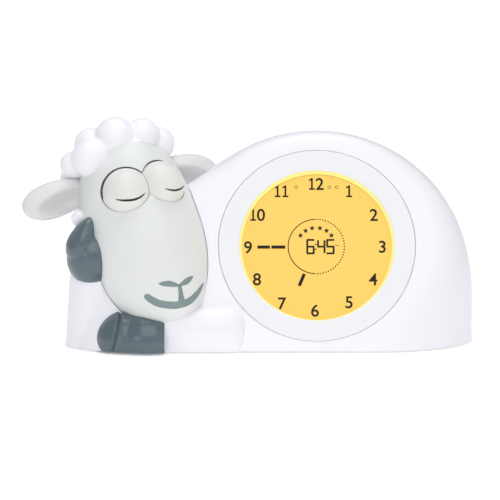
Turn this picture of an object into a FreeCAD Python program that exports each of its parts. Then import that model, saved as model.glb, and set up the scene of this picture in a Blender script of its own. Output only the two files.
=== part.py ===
import FreeCAD, Part
import math
import os

import Sketcher

# Kids alarm clock with night light: a dome housing with a back-lit dial, and a sleeping sheep's head whose
# eyes turn open. Millimetres. +Z is up, +X is the viewer's right, +Y goes away from the viewer. The origin
# is on the table under the middle of the clock.

Vector = FreeCAD.Vector
X_AXIS = Vector(1, 0, 0)
Y_AXIS = Vector(0, 1, 0)
Z_AXIS = Vector(0, 0, 1)

doc = FreeCAD.newDocument("night_light_clock")
sheet = doc.addObject("Spreadsheet::Sheet", "size")

SIZES = {
    # housing outline, seen from the front
    "dome_radius": 94.5,
    "dome_x": 41.3,
    "dome_z": 32.5,
    "base_z": 1.2,
    "body_left": -110.0,
    "left_lean": 1.3,
    "neck_slope": 31.4,
    "shoulder_round": 34.0,
    # housing depth and roundings
    "front_y": -38.5,
    "rear_y": 47.0,
    "face_lean": 22.5,
    "rear_lean": 5.0,
    "split_y": 26.0,
    "seam_gap": 0.2,
    "wall": 2.4,
    "round_base": 56.0,
    "round_side": 37.0,
    "round_top": 14.0,
    "round_neck": 20.0,
    "round_arm": 24.0,
    "round_left": 34.0,
    "round_rear": 9.0,
    # forelegs
    "arm_x": -93.0,
    "arm_y": -11.0,
    "arm_radius": 17.5,
    "arm_top_radius": 15.0,
    "arm_height": 47.0,
    "leg_left": -52.0,
    "leg_right": -1.5,
    "leg_front_y": -41.0,
    "leg_height": 27.0,
    "leg_round": 14.0,
    "leg_end_round": 11.0,
    # dial
    "dial_z": 62.1,
    "bezel_radius": 59.5,
    "bezel_thick": 2.4,
    "bezel_proud": 0.4,
    "bezel_seam": 0.25,
    "dial_radius": 46.8,
    "dial_taper": 1.6,
    "ring_wall": 2.2,
    "bezel_step": 2.4,
    "edge_break": 0.5,
    "dial_depth": 5.0,
    "lip_thick": 0.9,
    "ledge_radius": 54.0,
    "ledge_outer": 63.0,
    "ledge_thick": 4.0,
    "mouth_depth": 8.0,
    "lcd_radius": 48.9,
    "lcd_thick": 2.2,
    "guide_thick": 3.2,
    "cup_wall": 2.6,
    "cup_gap": 0.3,
    "cup_depth": 20.0,
    "cup_floor": 2.0,
    "cup_eye_radius": 14.0,
    "shelf_width": 1.9,
    "flange_radius": 57.5,
    "board_thick": 1.6,
    "led_count": 12.0,
    "led_ring_radius": 30.0,
    "led_size": 3.4,
    "led_height": 1.3,
    "standoff_radius": 2.6,
    "standoff_height": 6.0,
    "main_board_width": 74.0,
    "main_board_height": 50.0,
    "board_corner": 5.0,
    "capacitor_radius": 3.1,
    "capacitor_height": 7.0,
    "ribbon_half_width": 4.0,
    "ribbon_thick": 0.35,
    "ribbon_front_x": 3.0,
    "ribbon_rear_x": 9.0,
    # rear side
    "button_count": 6.0,
    "button_pitch": 16.0,
    "button_radius": 4.5,
    "button_gap": 0.35,
    "button_proud": 1.4,
    "button_travel": 1.0,
    "button_row_z": 89.0,
    "flange_width": 1.8,
    "button_flange_thick": 1.4,
    "stem_radius": 1.9,
    "stem_length": 4.6,
    "tact_size": 6.0,
    "tact_height": 3.5,
    "tact_plunger_radius": 1.7,
    "tact_plunger_height": 0.9,
    "stop_gap": 0.2,
    "button_edge": 0.6,
    "keypad_half_height": 8.0,
    "bay_x": 22.0,
    "bay_z": 11.0,
    "bay_length": 55.0,
    "bay_depth": 17.0,
    "bay_wall": 2.0,
    "door_seat": 0.6,
    "door_gap": 0.3,
    "door_thick": 2.0,
    "tab_width": 8.0,
    "tab_reach": 3.4,
    "tab_thick": 1.6,
    "tab_spread": 17.0,
    "cell_radius": 7.1,
    "cell_length": 49.0,
    "cell_nub_radius": 2.6,
    "cell_nub": 1.4,
    "cell_gap": 0.6,
    "contact_thick": 0.5,
    "contact_half_height": 4.5,
    "spring_wide": 4.0,
    "spring_slim": 2.2,
    "nub_cone": 1.6,
    "grip_near": 12.0,
    "grip_far": 24.0,
    "grip_top": 6.0,
    "grip_pitch": 2.4,
    "grip_width": 1.0,
    "grip_depth": 0.5,
    "door_screw_bite": 1.4,
    "thumb_notch": 1.0,
    "screw_radius": 1.5,
    "screw_head_radius": 2.9,
    "screw_head_thick": 1.9,
    "boss_radius": 4.2,
    "boss_length": 30.0,
    "rib_thick": 2.0,
    "pilot_gap": 0.1,
    "pilot_depth": 14.0,
    "screw_bite": 10.0,
    "screw_seat": 6.0,
    "screw_left_z": 13.0,
    "screw_right_z": 36.0,
    "speaker_x": 92.0,
    "speaker_z": 44.0,
    "speaker_radius": 20.0,
    "speaker_cone_radius": 16.5,
    "speaker_depth": 9.0,
    "magnet_radius": 10.5,
    "magnet_thick": 5.0,
    "speaker_rim": 0.6,
    "speaker_plate": 1.5,
    "speaker_web": 1.0,
    "dust_cap_radius": 5.0,
    "cone_depth": 4.8,
    "surround": 3.0,
    "paper_thick": 0.8,
    "grille_hole_radius": 1.3,
    "grille_pitch": 4.6,
    "switch_x": 104.0,
    "switch_z": 74.0,
    "switch_travel": 4.0,
    "switch_slot_height": 4.4,
    "knob_width": 5.0,
    "knob_height": 3.8,
    "knob_proud": 1.8,
    "knob_plate": 1.2,
    "knob_plate_lap": 1.0,
    "knob_groove": 0.3,
    "knob_groove_pitch": 1.4,
    "knob_groove_depth": 0.5,
    "switch_case_depth": 4.0,
    "switch_ear": 1.6,
    "inlet_x": 108.0,
    "inlet_z": 17.0,
    "inlet_radius": 2.8,
    "inlet_length": 12.0,
    "inlet_body": 10.0,
    "inlet_pin_radius": 0.95,
    "inlet_pin_sunk": 2.0,
    "inlet_base": 2.0,
    "inlet_collar": 1.2,
    # feet
    "foot_radius": 7.0,
    "foot_taper": 0.5,
    "foot_left_x": -88.0,
    "foot_right_x": 98.0,
    "foot_front_y": -14.0,
    "foot_rear_y": 34.0,
    # head
    "head_x": -64.2,
    "head_y": -5.0,
    "head_z": 71.0,
    "head_yaw": 18.0,
    "head_back": 25.0,
    "head_roll": 9.5,
    "head_half_height": 65.5,
    "head_half_width": 35.7,
    "head_half_depth": 31.0,
    "head_gap": 0.6,
    "neck_x": 5.0,
    "neck_z": -12.0,
    "neck_radius": 6.0,
    "neck_wall": 2.0,
    "neck_reach": 9.0,
    "neck_collar": 3.0,
    "neck_nut_wall": 4.0,
    "neck_nut_height": 7.0,
    "hair_y": -20.0,
    "hair_z": 48.0,
    "hair_slope": 69.0,
    "nape_y": 4.0,
    "lobe_radius": 11.0,
    "lobe_sink": 0.42,
    # ears
    "ear_left_x": 48.0,
    "ear_right_x": 41.0,
    "ear_y": 3.0,
    "ear_z": 30.0,
    "ear_half_length": 21.0,
    "ear_half_height": 11.0,
    "ear_half_thick": 6.5,
    "ear_droop": 8.0,
    "ear_gap": 0.15,
    # hooves
    "hoof_gap": 0.3,
    "floor_hoof_x": -61.0,
    "floor_hoof_y": -27.5,
    "floor_hoof_z": 6.5,
    "floor_hoof_end_x": -50.5,
    "toe_spread": 10.5,
    "floor_hoof_half_width": 21.5,
    "floor_hoof_half_depth": 20.5,
    "floor_hoof_half_height": 19.0,
    "cheek_hoof_x": -95.5,
    "cheek_hoof_y": -19.0,
    "cheek_hoof_z": 56.5,
    "cheek_hoof_half_width": 13.8,
    "cheek_hoof_half_depth": 15.0,
    "cheek_hoof_half_height": 17.5,
    # eyes and their drive
    "eye_y": -21.5,
    "eye_z": 18.5,
    "eye_radius": 15.0,
    "eye_spread": 11.0,
    "eye_wall": 1.8,
    "eye_gap": 0.4,
    "eye_cover": 235.0,
    "eye_cover_start": -160.0,
    "eye_web_x": 10.0,
    "eye_web": 1.6,
    "eye_split": 0.15,
    "hub_gap": 0.5,
    "eye_hub_radius": 3.6,
    "shaft_radius": 1.5,
    "shaft_gap": 0.05,
    "gear_module": 0.8,
    "gear_teeth": 44.0,
    "pinion_teeth": 10.0,
    "gear_thick": 2.4,
    "gear_arm": 5.0,
    "gear_first": 78.0,
    "gear_last": 178.0,
    "pressure_angle": 20.0,
    "tooth_backlash": 0.16,
    "gear_addendum": 0.45,
    "pinion_addendum": 0.62,
    "root_clearance": 0.25,
    "bearing_x": 3.0,
    "bearing_thick": 1.6,
    "bearing_height": 6.0,
    "motor_radius": 6.0,
    "motor_length": 16.0,
    "motor_shaft_radius": 0.8,
    "motor_flat": 4.8,
    "motor_cap": 1.0,
    "motor_cap_radius": 2.7,
    "bracket_back_y": 12.0,
    "bracket_thick": 2.0,
    "bracket_half_width": 19.0,
    "bracket_low": 4.0,
    "bracket_high": 27.0,
    "bracket_screw_inset": 4.0,
    "bracket_arm_edge": 1.5,
    "post_length": 24.0,
    "post_pilot": 9.0,
    "post_screw": 8.5,
}

for row, (alias, number) in enumerate(SIZES.items(), 1):
    sheet.set("A%d" % row, alias)
    sheet.set("B%d" % row, str(number))
    sheet.setAlias("B%d" % row, alias)
doc.recompute()

parts = []


# A length that reaches past the whole clock
FAR = "4 * size.dome_radius"


# Helpers


def val(formula):
    """The number that a formula on the sheet gives."""
    return float(sheet.evalExpression(formula))


def size(name):
    return val("size." + name)


def node(obj, label):
    """Names an object as one of the clock's pieces."""
    obj.Label = label
    parts.append(obj)
    return obj


def turned(angle, axis):
    return FreeCAD.Rotation(axis, angle)


def frame_at(x, y, z, rotation=None):
    return FreeCAD.Placement(Vector(x, y, z), rotation or FreeCAD.Rotation())


def new_body(label, frame):
    body = doc.addObject("PartDesign::Body", label)
    body.Placement = frame
    return node(body, label)


def new_sketch(body, role, offset=None):
    plane = [f for f in body.Origin.OriginFeatures if f.Role == role][0]
    sketch = body.newObject("Sketcher::SketchObject", "outline")
    sketch.AttachmentSupport = (plane, "")
    sketch.MapMode = "FlatFace"
    if offset:
        sketch.setExpression("AttachmentOffset.Base.z", offset)
    return sketch


def polygon(sketch, points):
    """A closed outline whose corners are pairs of formulas."""
    numbers = [(val(a), val(b)) for a, b in points]
    count = len(points)
    first = sketch.GeometryCount
    for i in range(count):
        start = Vector(*numbers[i], 0)
        end = Vector(*numbers[(i + 1) % count], 0)
        sketch.addGeometry(Part.LineSegment(start, end))
    for i in range(count):
        follower = first + (i + 1) % count
        sketch.addConstraint(Sketcher.Constraint("Coincident", first + i, 2, follower, 1))
    for i in range(count):
        for kind, number, formula in zip(("DistanceX", "DistanceY"), numbers[i], points[i]):
            index = sketch.addConstraint(Sketcher.Constraint(kind, -1, 1, first + i, 1, number))
            sketch.setExpression("Constraints[%d]" % index, formula)


def rectangle(sketch, x0, x1, y0, y1):
    polygon(sketch, [(x0, y0), (x1, y0), (x1, y1), (x0, y1)])


def circle(sketch, x, y, radius):
    shape = Part.Circle(Vector(val(x), val(y), 0), Z_AXIS, val(radius))
    index = sketch.addGeometry(shape)
    for kind, formula in (("DistanceX", x), ("DistanceY", y)):
        at = sketch.addConstraint(Sketcher.Constraint(kind, -1, 1, index, 3, val(formula)))
        sketch.setExpression("Constraints[%d]" % at, formula)
    at = sketch.addConstraint(Sketcher.Constraint("Radius", index, val(radius)))
    sketch.setExpression("Constraints[%d]" % at, radius)


def pad(body, sketch, length, backward=False, both=False):
    feature = body.newObject("PartDesign::Pad", "pad")
    feature.Profile = sketch
    feature.setExpression("Length", length)
    feature.Reversed = backward
    feature.Midplane = both
    sketch.Visibility = False
    return feature


def pocket(body, sketch, length=None, backward=False):
    """Cuts a sketch's outline out of the body, right through it both ways when no depth is given."""
    feature = body.newObject("PartDesign::Pocket", "pocket")
    feature.Profile = sketch
    if length:
        feature.setExpression("Length", length)
        feature.Reversed = backward
    else:
        feature.Type = "ThroughAll"
        feature.Midplane = True
    return feature


def revolved(label, frame, points):
    """A turned piece: corners are (radius, depth along the frame's Y axis)."""
    body = new_body(label, frame)
    sketch = new_sketch(body, "XY_Plane")
    polygon(sketch, points)
    feature = body.newObject("PartDesign::Revolution", "turned")
    feature.Profile = sketch
    feature.ReferenceAxis = (sketch, ["V_Axis"])
    feature.Angle = 360
    return body


def upright_plate(label, frame, x0, x1, z0, z1, y0, y1):
    """A plate that faces along Y: x and z give its outline, y0 to y1 its thickness."""
    body = new_body(label, frame)
    sketch = new_sketch(body, "XZ_Plane", "-(%s)" % y0)
    rectangle(sketch, x0, x1, z0, z1)
    pad(body, sketch, "(%s) - (%s)" % (y1, y0), backward=True)
    return body


def box(frame, x0, x1, y0, y1, z0, z1, name="block"):
    block = doc.addObject("Part::Box", name)
    block.setExpression("Length", "(%s) - (%s)" % (x1, x0))
    block.setExpression("Width", "(%s) - (%s)" % (y1, y0))
    block.setExpression("Height", "(%s) - (%s)" % (z1, z0))
    block.Placement = frame.multiply(frame_at(val(x0), val(y0), val(z0)))
    return block


def rod(frame, x, z, y0, y1, radius, name="rod"):
    """A round rod along the frame's Y axis."""
    shape = doc.addObject("Part::Cylinder", name)
    shape.setExpression("Radius", radius)
    shape.setExpression("Height", "(%s) - (%s)" % (y1, y0))
    along_y = turned(-90, X_AXIS)
    shape.Placement = frame.multiply(frame_at(val(x), val(y0), val(z), along_y))
    return shape


def cross_rod(frame, y, z, x0, x1, radius, name="cross_rod"):
    """A round rod along the frame's X axis."""
    shape = doc.addObject("Part::Cylinder", name)
    shape.setExpression("Radius", radius)
    shape.setExpression("Height", "(%s) - (%s)" % (x1, x0))
    along_x = turned(90, Y_AXIS)
    shape.Placement = frame.multiply(frame_at(val(x0), val(y), val(z), along_x))
    return shape


def ball(frame, x, y, z, radius, name="ball"):
    shape = doc.addObject("Part::Sphere", name)
    shape.setExpression("Radius", radius)
    shape.Placement = frame.multiply(frame_at(x, y, z))
    return shape


def ellipsoid(frame, x, y, z, half_x, half_y, half_z, name="ellipsoid"):
    shape = doc.addObject("Part::Ellipsoid", name)
    shape.Angle1 = -90
    shape.setExpression("Radius1", half_z)
    shape.setExpression("Radius2", half_x)
    shape.setExpression("Radius3", half_y)
    shape.Placement = frame.multiply(frame_at(val(x), val(y), val(z)))
    return shape


def cut(base, tool, name="cut"):
    shape = doc.addObject("Part::Cut", name)
    shape.Base = base
    shape.Tool = tool
    shape.Refine = False
    return shape


def common(base, tool, name="common"):
    shape = doc.addObject("Part::Common", name)
    shape.Base = base
    shape.Tool = tool
    shape.Refine = False
    return shape


def fused(shapes, name="fused", refined=True):
    shape = doc.addObject("Part::MultiFuse", name)
    shape.Shapes = shapes
    shape.Refine = refined
    return shape


def group(label, shapes):
    """Identical loose pieces that share one name."""
    shape = doc.addObject("Part::Compound", label)
    shape.Links = shapes
    return node(shape, label)


# Frames that the pieces are built in

WORLD = frame_at(0, 0, 0)


def dial_frame():
    """On the leaning front face, at the dial's centre: Y goes into the housing, Z up the face."""
    lean = math.radians(size("face_lean"))
    y = size("front_y") + (size("dial_z") - size("base_z")) * math.tan(lean)
    return frame_at(size("dome_x"), y, size("dial_z"), turned(-size("face_lean"), X_AXIS))


def rear_frame():
    """On the rear face, at its bottom edge: Y goes out of the housing, Z up the face."""
    return frame_at(0, size("rear_y"), size("base_z"), turned(size("rear_lean"), X_AXIS))


def head_frame():
    """In the middle of the head: Y goes to its back, Z to its crown."""
    yaw = turned(size("head_yaw"), Z_AXIS)
    back = turned(-size("head_back"), X_AXIS)
    roll = turned(-size("head_roll"), Y_AXIS)
    rotation = yaw.multiply(back).multiply(roll)
    return frame_at(size("head_x"), size("head_y"), size("head_z"), rotation)


DIAL = dial_frame()
REAR = rear_frame()
HEAD = head_frame()

# Share of the head's half height, then the share of its half width and depth, from chin to crown
HEAD_STATIONS = (
    (-0.93, 0.40),
    (-0.78, 0.68),
    (-0.52, 0.90),
    (-0.22, 1.00),
    (0.08, 0.99),
    (0.38, 0.92),
    (0.65, 0.76),
    (0.86, 0.50),
)


def head_egg(grown, name):
    """The head's egg form, grown outward by a formula (negative for the hollow inside)."""
    sections = []
    height = "(size.head_half_height + %s)" % grown
    for along, across in HEAD_STATIONS:
        ring = doc.addObject("Part::Ellipse", name + "_ring")
        ring.setExpression("MajorRadius", "size.head_half_width * %s + %s" % (across, grown))
        ring.setExpression("MinorRadius", "size.head_half_depth * %s + %s" % (across, grown))
        ring.setExpression("Placement.Base.z", "%s * %s" % (height, along))
        sections.append(ring)
    ends = []
    for side in (-1, 1):
        end = doc.addObject("Part::Vertex", name + "_end")
        end.setExpression("Z", "%s * %d" % (height, side))
        ends.append(end)
    loft = doc.addObject("Part::Loft", name)
    loft.Sections = [ends[0]] + sections + [ends[1]]
    loft.Solid = True
    loft.Ruled = False
    loft.Placement = HEAD
    return loft


# Housing form


def leaning_cutter(y, lean, side, inset):
    """A block that takes away what lies beyond a leaning face."""
    angle = math.radians(lean)
    normal = Vector(0, side * math.cos(angle), math.sin(angle))
    corner = Vector(0, y, size("base_z")) - normal * inset
    reach = 4 * size("dome_radius")
    block = doc.addObject("Part::Box", "face_cutter")
    block.Length = 2 * reach
    block.Width = 2 * reach
    block.Height = reach
    rotation = FreeCAD.Rotation(Z_AXIS, normal)
    place = FreeCAD.Placement(corner, rotation)
    block.Placement = place.multiply(frame_at(-reach, -reach, 0))
    return block


def rounded(base, chooser, name):
    """Rounds the edges for which chooser gives a start and end radius."""
    doc.recompute()
    edges = []
    for index, edge in enumerate(base.Shape.Edges, 1):
        ends = [vertex.Point for vertex in edge.Vertexes]
        radii = chooser(ends) if len(ends) == 2 else None
        if radii:
            edges.append((index, radii[0], radii[1]))
    shape = doc.addObject("Part::Fillet", name)
    shape.Base = base
    shape.Edges = edges
    return shape


def housing_form(inset, name):
    """The whole housing's form, pulled in by inset, with rounded front and rear edges."""
    radius = size("dome_radius") - inset
    centre = Vector(size("dome_x"), 0, size("dome_z"))
    base_z = size("base_z") + inset
    slope = math.radians(size("neck_slope"))
    left = size("body_left") + inset
    top_left = left + size("left_lean")
    tangent = centre + Vector(-radius * math.sin(slope), 0, radius * math.cos(slope))
    corner_z = tangent.z - (tangent.x - top_left) * math.tan(slope)
    depth = 2 * size("dome_radius")
    outline = [
        Vector(left, 0, base_z),
        Vector(top_left, 0, corner_z),
        tangent,
        centre,
        Vector(centre.x + radius, 0, centre.z),
        Vector(centre.x + radius, 0, base_z),
    ]
    prism = doc.addObject("Part::Feature", name + "_flank")
    face = Part.Face(Part.makePolygon(outline + outline[:1]))
    prism.Shape = face.extrude(Vector(0, depth, 0))
    prism.Placement = frame_at(0, -depth / 2, 0)
    dome = rod(WORLD, "size.dome_x", "size.dome_z", "-%s" % (depth / 2), "%s" % (depth / 2), str(radius))
    below = box(WORLD, "-" + FAR, FAR, "-%s" % depth, "%s" % depth, "-" + FAR, str(base_z), "below")
    whole = cut(fused([prism, dome]), below)

    def shoulder(ends):
        level = all(abs(p.z - corner_z) < 0.01 for p in ends)
        at_left = all(abs(p.x - top_left) < 0.01 for p in ends)
        if level and at_left:
            return [max(size("shoulder_round") - inset, 1)] * 2
        return None

    blunt = rounded(whole, shoulder, name + "_shoulder")
    front = leaning_cutter(size("front_y"), size("face_lean"), -1, inset)
    rear = leaning_cutter(size("rear_y"), size("rear_lean"), 1, inset)
    leaning = cut(cut(blunt, front), rear)

    def front_y_at(z):
        lean = math.radians(size("face_lean"))
        start = size("front_y") + inset / math.cos(lean)
        return start + (z - size("base_z")) * math.tan(lean)

    def radius_at(point):
        if point.x > centre.x + radius - 1:
            named = "round_base" if point.z < base_z + 1 else "round_side"
        elif point.x > tangent.x - 1:
            named = "round_top"
        elif point.x < top_left + 1:
            named = "round_left" if point.z < base_z + 1 else "round_arm"
        else:
            named = "round_neck"
        return max(size(named) - inset, 1)

    def front_edge(ends):
        on_front = all(abs(p.y - front_y_at(p.z)) < 0.01 for p in ends)
        on_floor = all(abs(p.z - base_z) < 0.01 for p in ends)
        if on_front and not on_floor:
            return [radius_at(p) for p in ends]
        return None

    def rear_edge(ends):
        behind = all(p.y > size("split_y") + inset for p in ends)
        on_floor = all(abs(p.z - base_z) < 0.01 for p in ends)
        if behind and not on_floor:
            lean = math.radians(size("rear_lean"))
            start = size("rear_y") - inset / math.cos(lean)
            wanted = [start - (p.z - size("base_z")) * math.tan(lean) for p in ends]
            if all(abs(p.y - y) < 0.01 for p, y in zip(ends, wanted)):
                return [max(size("round_rear") - inset, 1)] * 2
        return None

    front_round = rounded(leaning, front_edge, name + "_front")
    return rounded(front_round, rear_edge, name + "_rear")


def foreleg_forms(inset, name):
    """The upright foreleg's column and the lying foreleg's soft block."""
    arm = doc.addObject("Part::Cone", name + "_arm")
    arm.Radius1 = size("arm_radius") - inset
    arm.Radius2 = size("arm_top_radius") - inset
    arm.Height = size("arm_height") - 2 * inset
    arm.Placement = frame_at(size("arm_x"), size("arm_y"), size("base_z") + inset)
    leg = box(
        WORLD,
        "size.leg_left + %s" % inset,
        "size.leg_right - %s" % inset,
        "size.leg_front_y + %s" % inset,
        "size.split_y / 2",
        "size.base_z + %s" % inset,
        "size.leg_height - %s" % inset,
        name + "_leg",
    )
    front_y = size("leg_front_y") + inset
    top_z = size("leg_height") - inset
    right_x = size("leg_right") - inset

    def top_edge(ends):
        if all(abs(p.y - front_y) < 0.01 and abs(p.z - top_z) < 0.01 for p in ends):
            return [size("leg_round") - inset] * 2
        return None

    def end_edge(ends):
        at_right = all(abs(p.x - right_x) < 0.01 for p in ends)
        if at_right and any(p.y < front_y + size("leg_round") for p in ends):
            if not all(abs(p.z - size("base_z") - inset) < 0.01 for p in ends):
                return [size("leg_end_round") - inset] * 2
        return None

    return [arm, rounded(rounded(leg, top_edge, name + "_top"), end_edge, name + "_end")]


def seat_in_head(form, gap, name):
    """Takes the head's place, and a gap round it, out of a form."""
    return cut(form, head_egg(gap, name + "_nest"), name)


outer_form = fused([housing_form(0, "outer")] + foreleg_forms(0, "outer"), "outer_form")
inner_housing = housing_form(size("wall"), "inner")
inner_form = fused([inner_housing] + foreleg_forms(size("wall"), "inner"), "inner_form")
outer_nested = seat_in_head(outer_form, "size.head_gap", "outer_nested")
inner_nested = seat_in_head(inner_form, "size.head_gap + size.wall", "inner_nested")
housing_wall = cut(outer_nested, inner_nested, "housing_wall")

def half_space(y0, y1, name):
    """Everything between two upright planes across the housing."""
    return box(WORLD, "-" + FAR, FAR, y0, y1, "-" + FAR, FAR, name)


def turned_cutter(frame, points, name):
    """A turned form that isn't a piece by itself, used to cut or to add."""
    body = doc.addObject("PartDesign::Body", name)
    body.Placement = frame
    sketch = new_sketch(body, "XY_Plane")
    polygon(sketch, points)
    feature = body.newObject("PartDesign::Revolution", "turned")
    feature.Profile = sketch
    feature.ReferenceAxis = (sketch, ["V_Axis"])
    feature.Angle = 360
    return body


# Places of the housing screws, x and z: left foot, right side, then the dome's two shoulders
SCREW_PLACES = (
    ("size.arm_x + size.screw_seat", "size.base_z + size.screw_left_z"),
    ("size.dome_x + 0.87 * size.dome_radius", "size.base_z + size.screw_right_z"),
    ("size.dome_x + 0.58 * size.dome_radius", "size.dome_z + 0.68 * size.dome_radius"),
    ("size.dome_x - 0.66 * size.dome_radius", "size.dome_z + 0.52 * size.dome_radius"),
)


def boss_ribs():
    """Ribs from the two lower bosses: one down to the floor, one out to the side wall."""
    (left_x, left_z), (right_x, right_z) = SCREW_PLACES[:2]
    half = "size.rib_thick / 2"
    y0 = "size.split_y - size.boss_length"
    y1 = "size.split_y"
    low_z = "size.base_z"
    high_x = "size.dome_x + size.dome_radius"
    down = box(WORLD, "%s - %s" % (left_x, half), "%s + %s" % (left_x, half), y0, y1, low_z, left_z, "rib")
    low, high = "%s - %s" % (right_z, half), "%s + %s" % (right_z, half)
    out = box(WORLD, right_x, high_x, y0, y1, low, high, "rib")
    return [down, out]


def front_shell():
    front_half = half_space("-" + FAR, "size.split_y", "front_half")
    wall = common(housing_wall, front_half, "front_wall")
    ledge = turned_cutter(
        DIAL,
        [
            ("size.ledge_radius", "size.wall / 2"),
            ("size.ledge_outer", "size.wall / 2"),
            ("size.ledge_outer", "size.bezel_thick + size.ledge_thick - size.bezel_proud"),
            ("size.ledge_radius", "size.bezel_thick + size.ledge_thick - size.bezel_proud"),
        ],
        "dial_ledge",
    )
    solids = [wall, common(ledge, outer_nested, "ledge_inside")]
    for x, z in SCREW_PLACES:
        boss_start = "size.split_y - size.boss_length"
        boss = rod(WORLD, x, z, boss_start, "size.split_y", "size.boss_radius", "front_boss")
        solids.append(common(boss, outer_nested, "front_boss_inside"))
    for rib in boss_ribs():
        solids.append(common(rib, outer_nested, "rib_inside"))
    shell = fused(solids, "front_solid")
    mouth = turned_cutter(
        DIAL,
        [
            ("0", "-size.ledge_outer"),
            ("size.bezel_radius + size.bezel_seam", "-size.ledge_outer"),
            ("size.bezel_radius + size.bezel_seam", "size.bezel_thick - size.bezel_proud"),
            ("size.ledge_radius", "size.bezel_thick - size.bezel_proud"),
            ("size.ledge_radius", "size.mouth_depth"),
            ("0", "size.mouth_depth"),
        ],
        "dial_mouth",
    )
    tools = [mouth]
    for x, z in SCREW_PLACES:
        pilot = "size.screw_radius + size.pilot_gap"
        pilot_start = "size.split_y - size.pilot_depth"
        tools.append(rod(WORLD, x, z, pilot_start, "size.split_y + size.wall", pilot, "pilot"))
    back = "size.head_half_depth"
    start = back + " - 2 * size.neck_wall"
    end = back + " + 4 * size.neck_wall"
    tools.append(neck_rod(start, end, "size.neck_radius + size.pilot_gap", "neck_way"))
    return node(cut(shell, fused(tools, "front_cuts"), "front_cut"), "front_shell")


# Places of the buttons and of the grille's holes, in the rear frame


def button_x(index):
    return "size.dome_x + size.button_pitch * (%d - (size.button_count - 1) / 2)" % index


def grille_places():
    """A hexagonal field of holes: one in the middle and two rings."""
    places = [(0.0, 0.0)]
    for ring in (1, 2, 3):
        for side in range(6):
            for step in range(ring):
                start = math.radians(60 * side)
                turn = math.radians(60 * side + 120)
                x = ring * math.cos(start) + step * math.cos(turn)
                z = ring * math.sin(start) + step * math.sin(turn)
                places.append((x, z))
    return places


def rear_shell():
    rear_half = half_space("size.split_y + size.seam_gap", FAR, "rear_half")
    solids = [common(housing_wall, rear_half, "rear_wall")]
    for x, z in SCREW_PLACES:
        post = rod(WORLD, x, z, "size.split_y + size.seam_gap", FAR, "size.boss_radius", "rear_post")
        solids.append(common(post, outer_nested, "rear_post_inside"))
    tools = []
    for x, z in SCREW_PLACES:
        radius = "size.screw_radius + 4 * size.pilot_gap"
        head_radius = "size.screw_head_radius + 5 * size.pilot_gap"
        tools.append(rod(WORLD, x, z, "0", FAR, radius, "screw_way"))
        tools.append(rod(WORLD, x, z, "size.split_y + size.screw_seat", FAR, head_radius, "screw_well"))
    wall = "size.wall"
    for index in range(int(size("button_count"))):
        radius = "size.button_radius + size.button_gap"
        x = button_x(index)
        tools.append(rod(REAR, x, "size.button_row_z", "-2 * " + wall, wall, radius, "button_way"))
    for x, z in grille_places():
        at_x = "size.speaker_x + size.grille_pitch * %.4f" % x
        at_z = "size.speaker_z + size.grille_pitch * %.4f" % z
        tools.append(rod(REAR, at_x, at_z, "-2 * " + wall, wall, "size.grille_hole_radius", "grille_hole"))
    half = "(size.bay_length / 2 + size.door_seat)"
    door_z0 = "size.bay_z - size.door_seat"
    door_z1 = "size.bay_z + %s + size.door_seat" % bay_height()
    door_x0 = "size.bay_x - " + half
    door_x1 = "size.bay_x + " + half
    tools.append(box(REAR, door_x0, door_x1, "-2 * " + wall, wall, door_z0, door_z1, "bay_way"))
    reach = "(size.knob_width + size.switch_travel) / 2 + size.button_gap"
    tall = "size.switch_slot_height / 2"
    tools.append(
        box(
            REAR,
            "size.switch_x - (%s)" % reach,
            "size.switch_x + %s" % reach,
            "-2 * " + wall,
            wall,
            "size.switch_z - " + tall,
            "size.switch_z + " + tall,
            "switch_way",
        )
    )
    inlet_radius = "size.inlet_body / 2 - size.door_gap"
    tools.append(rod(REAR, "size.inlet_x", "size.inlet_z", "-2 * " + wall, wall, inlet_radius, "inlet_way"))
    return node(cut(fused(solids, "rear_solid"), fused(tools, "rear_cuts"), "rear_cut"), "rear_shell")


def housing_screws():
    screws = []
    for x, z in SCREW_PLACES:
        seat = "size.split_y + size.screw_seat"
        shank = rod(WORLD, x, z, "size.split_y - size.screw_bite", seat, "size.screw_radius", "shank")
        head = rod(WORLD, x, z, seat, seat + " + size.screw_head_thick", "size.screw_head_radius", "head")
        screws.append(cross_slotted(fused([shank, head], "screw"), WORLD, x, z, seat))
    return group("housing_screws", screws)


def cross_slotted(screw, frame, x, z, seat):
    """Cuts a cross into a screw's head."""
    top = seat + " + size.screw_head_thick"
    arms = []
    long, slim = "0.62 * size.screw_head_radius", "0.12 * size.screw_head_radius"
    for wide, narrow in ((long, slim), (slim, long)):
        arms.append(
            box(
                frame,
                "%s - %s" % (x, wide),
                "%s + %s" % (x, wide),
                "%s - size.screw_head_thick / 2" % top,
                "%s + size.screw_head_thick" % top,
                "%s - %s" % (z, narrow),
                "%s + %s" % (z, narrow),
                "cross_arm",
            )
        )
    return cut(screw, fused(arms, "cross"), "cross_slotted")


def rubber_feet():
    feet = []
    for x in ("size.foot_left_x", "size.foot_right_x"):
        for y in ("size.foot_front_y", "size.foot_rear_y"):
            foot = doc.addObject("Part::Cone", "foot")
            foot.setExpression("Radius1", "size.foot_radius - size.foot_taper")
            foot.setExpression("Radius2", "size.foot_radius")
            foot.setExpression("Height", "size.base_z")
            foot.Placement = frame_at(val(x), val(y), 0)
            feet.append(foot)
    return group("rubber_feet", feet)


# Dial, in the dial frame: depths count inward from the face


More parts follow.
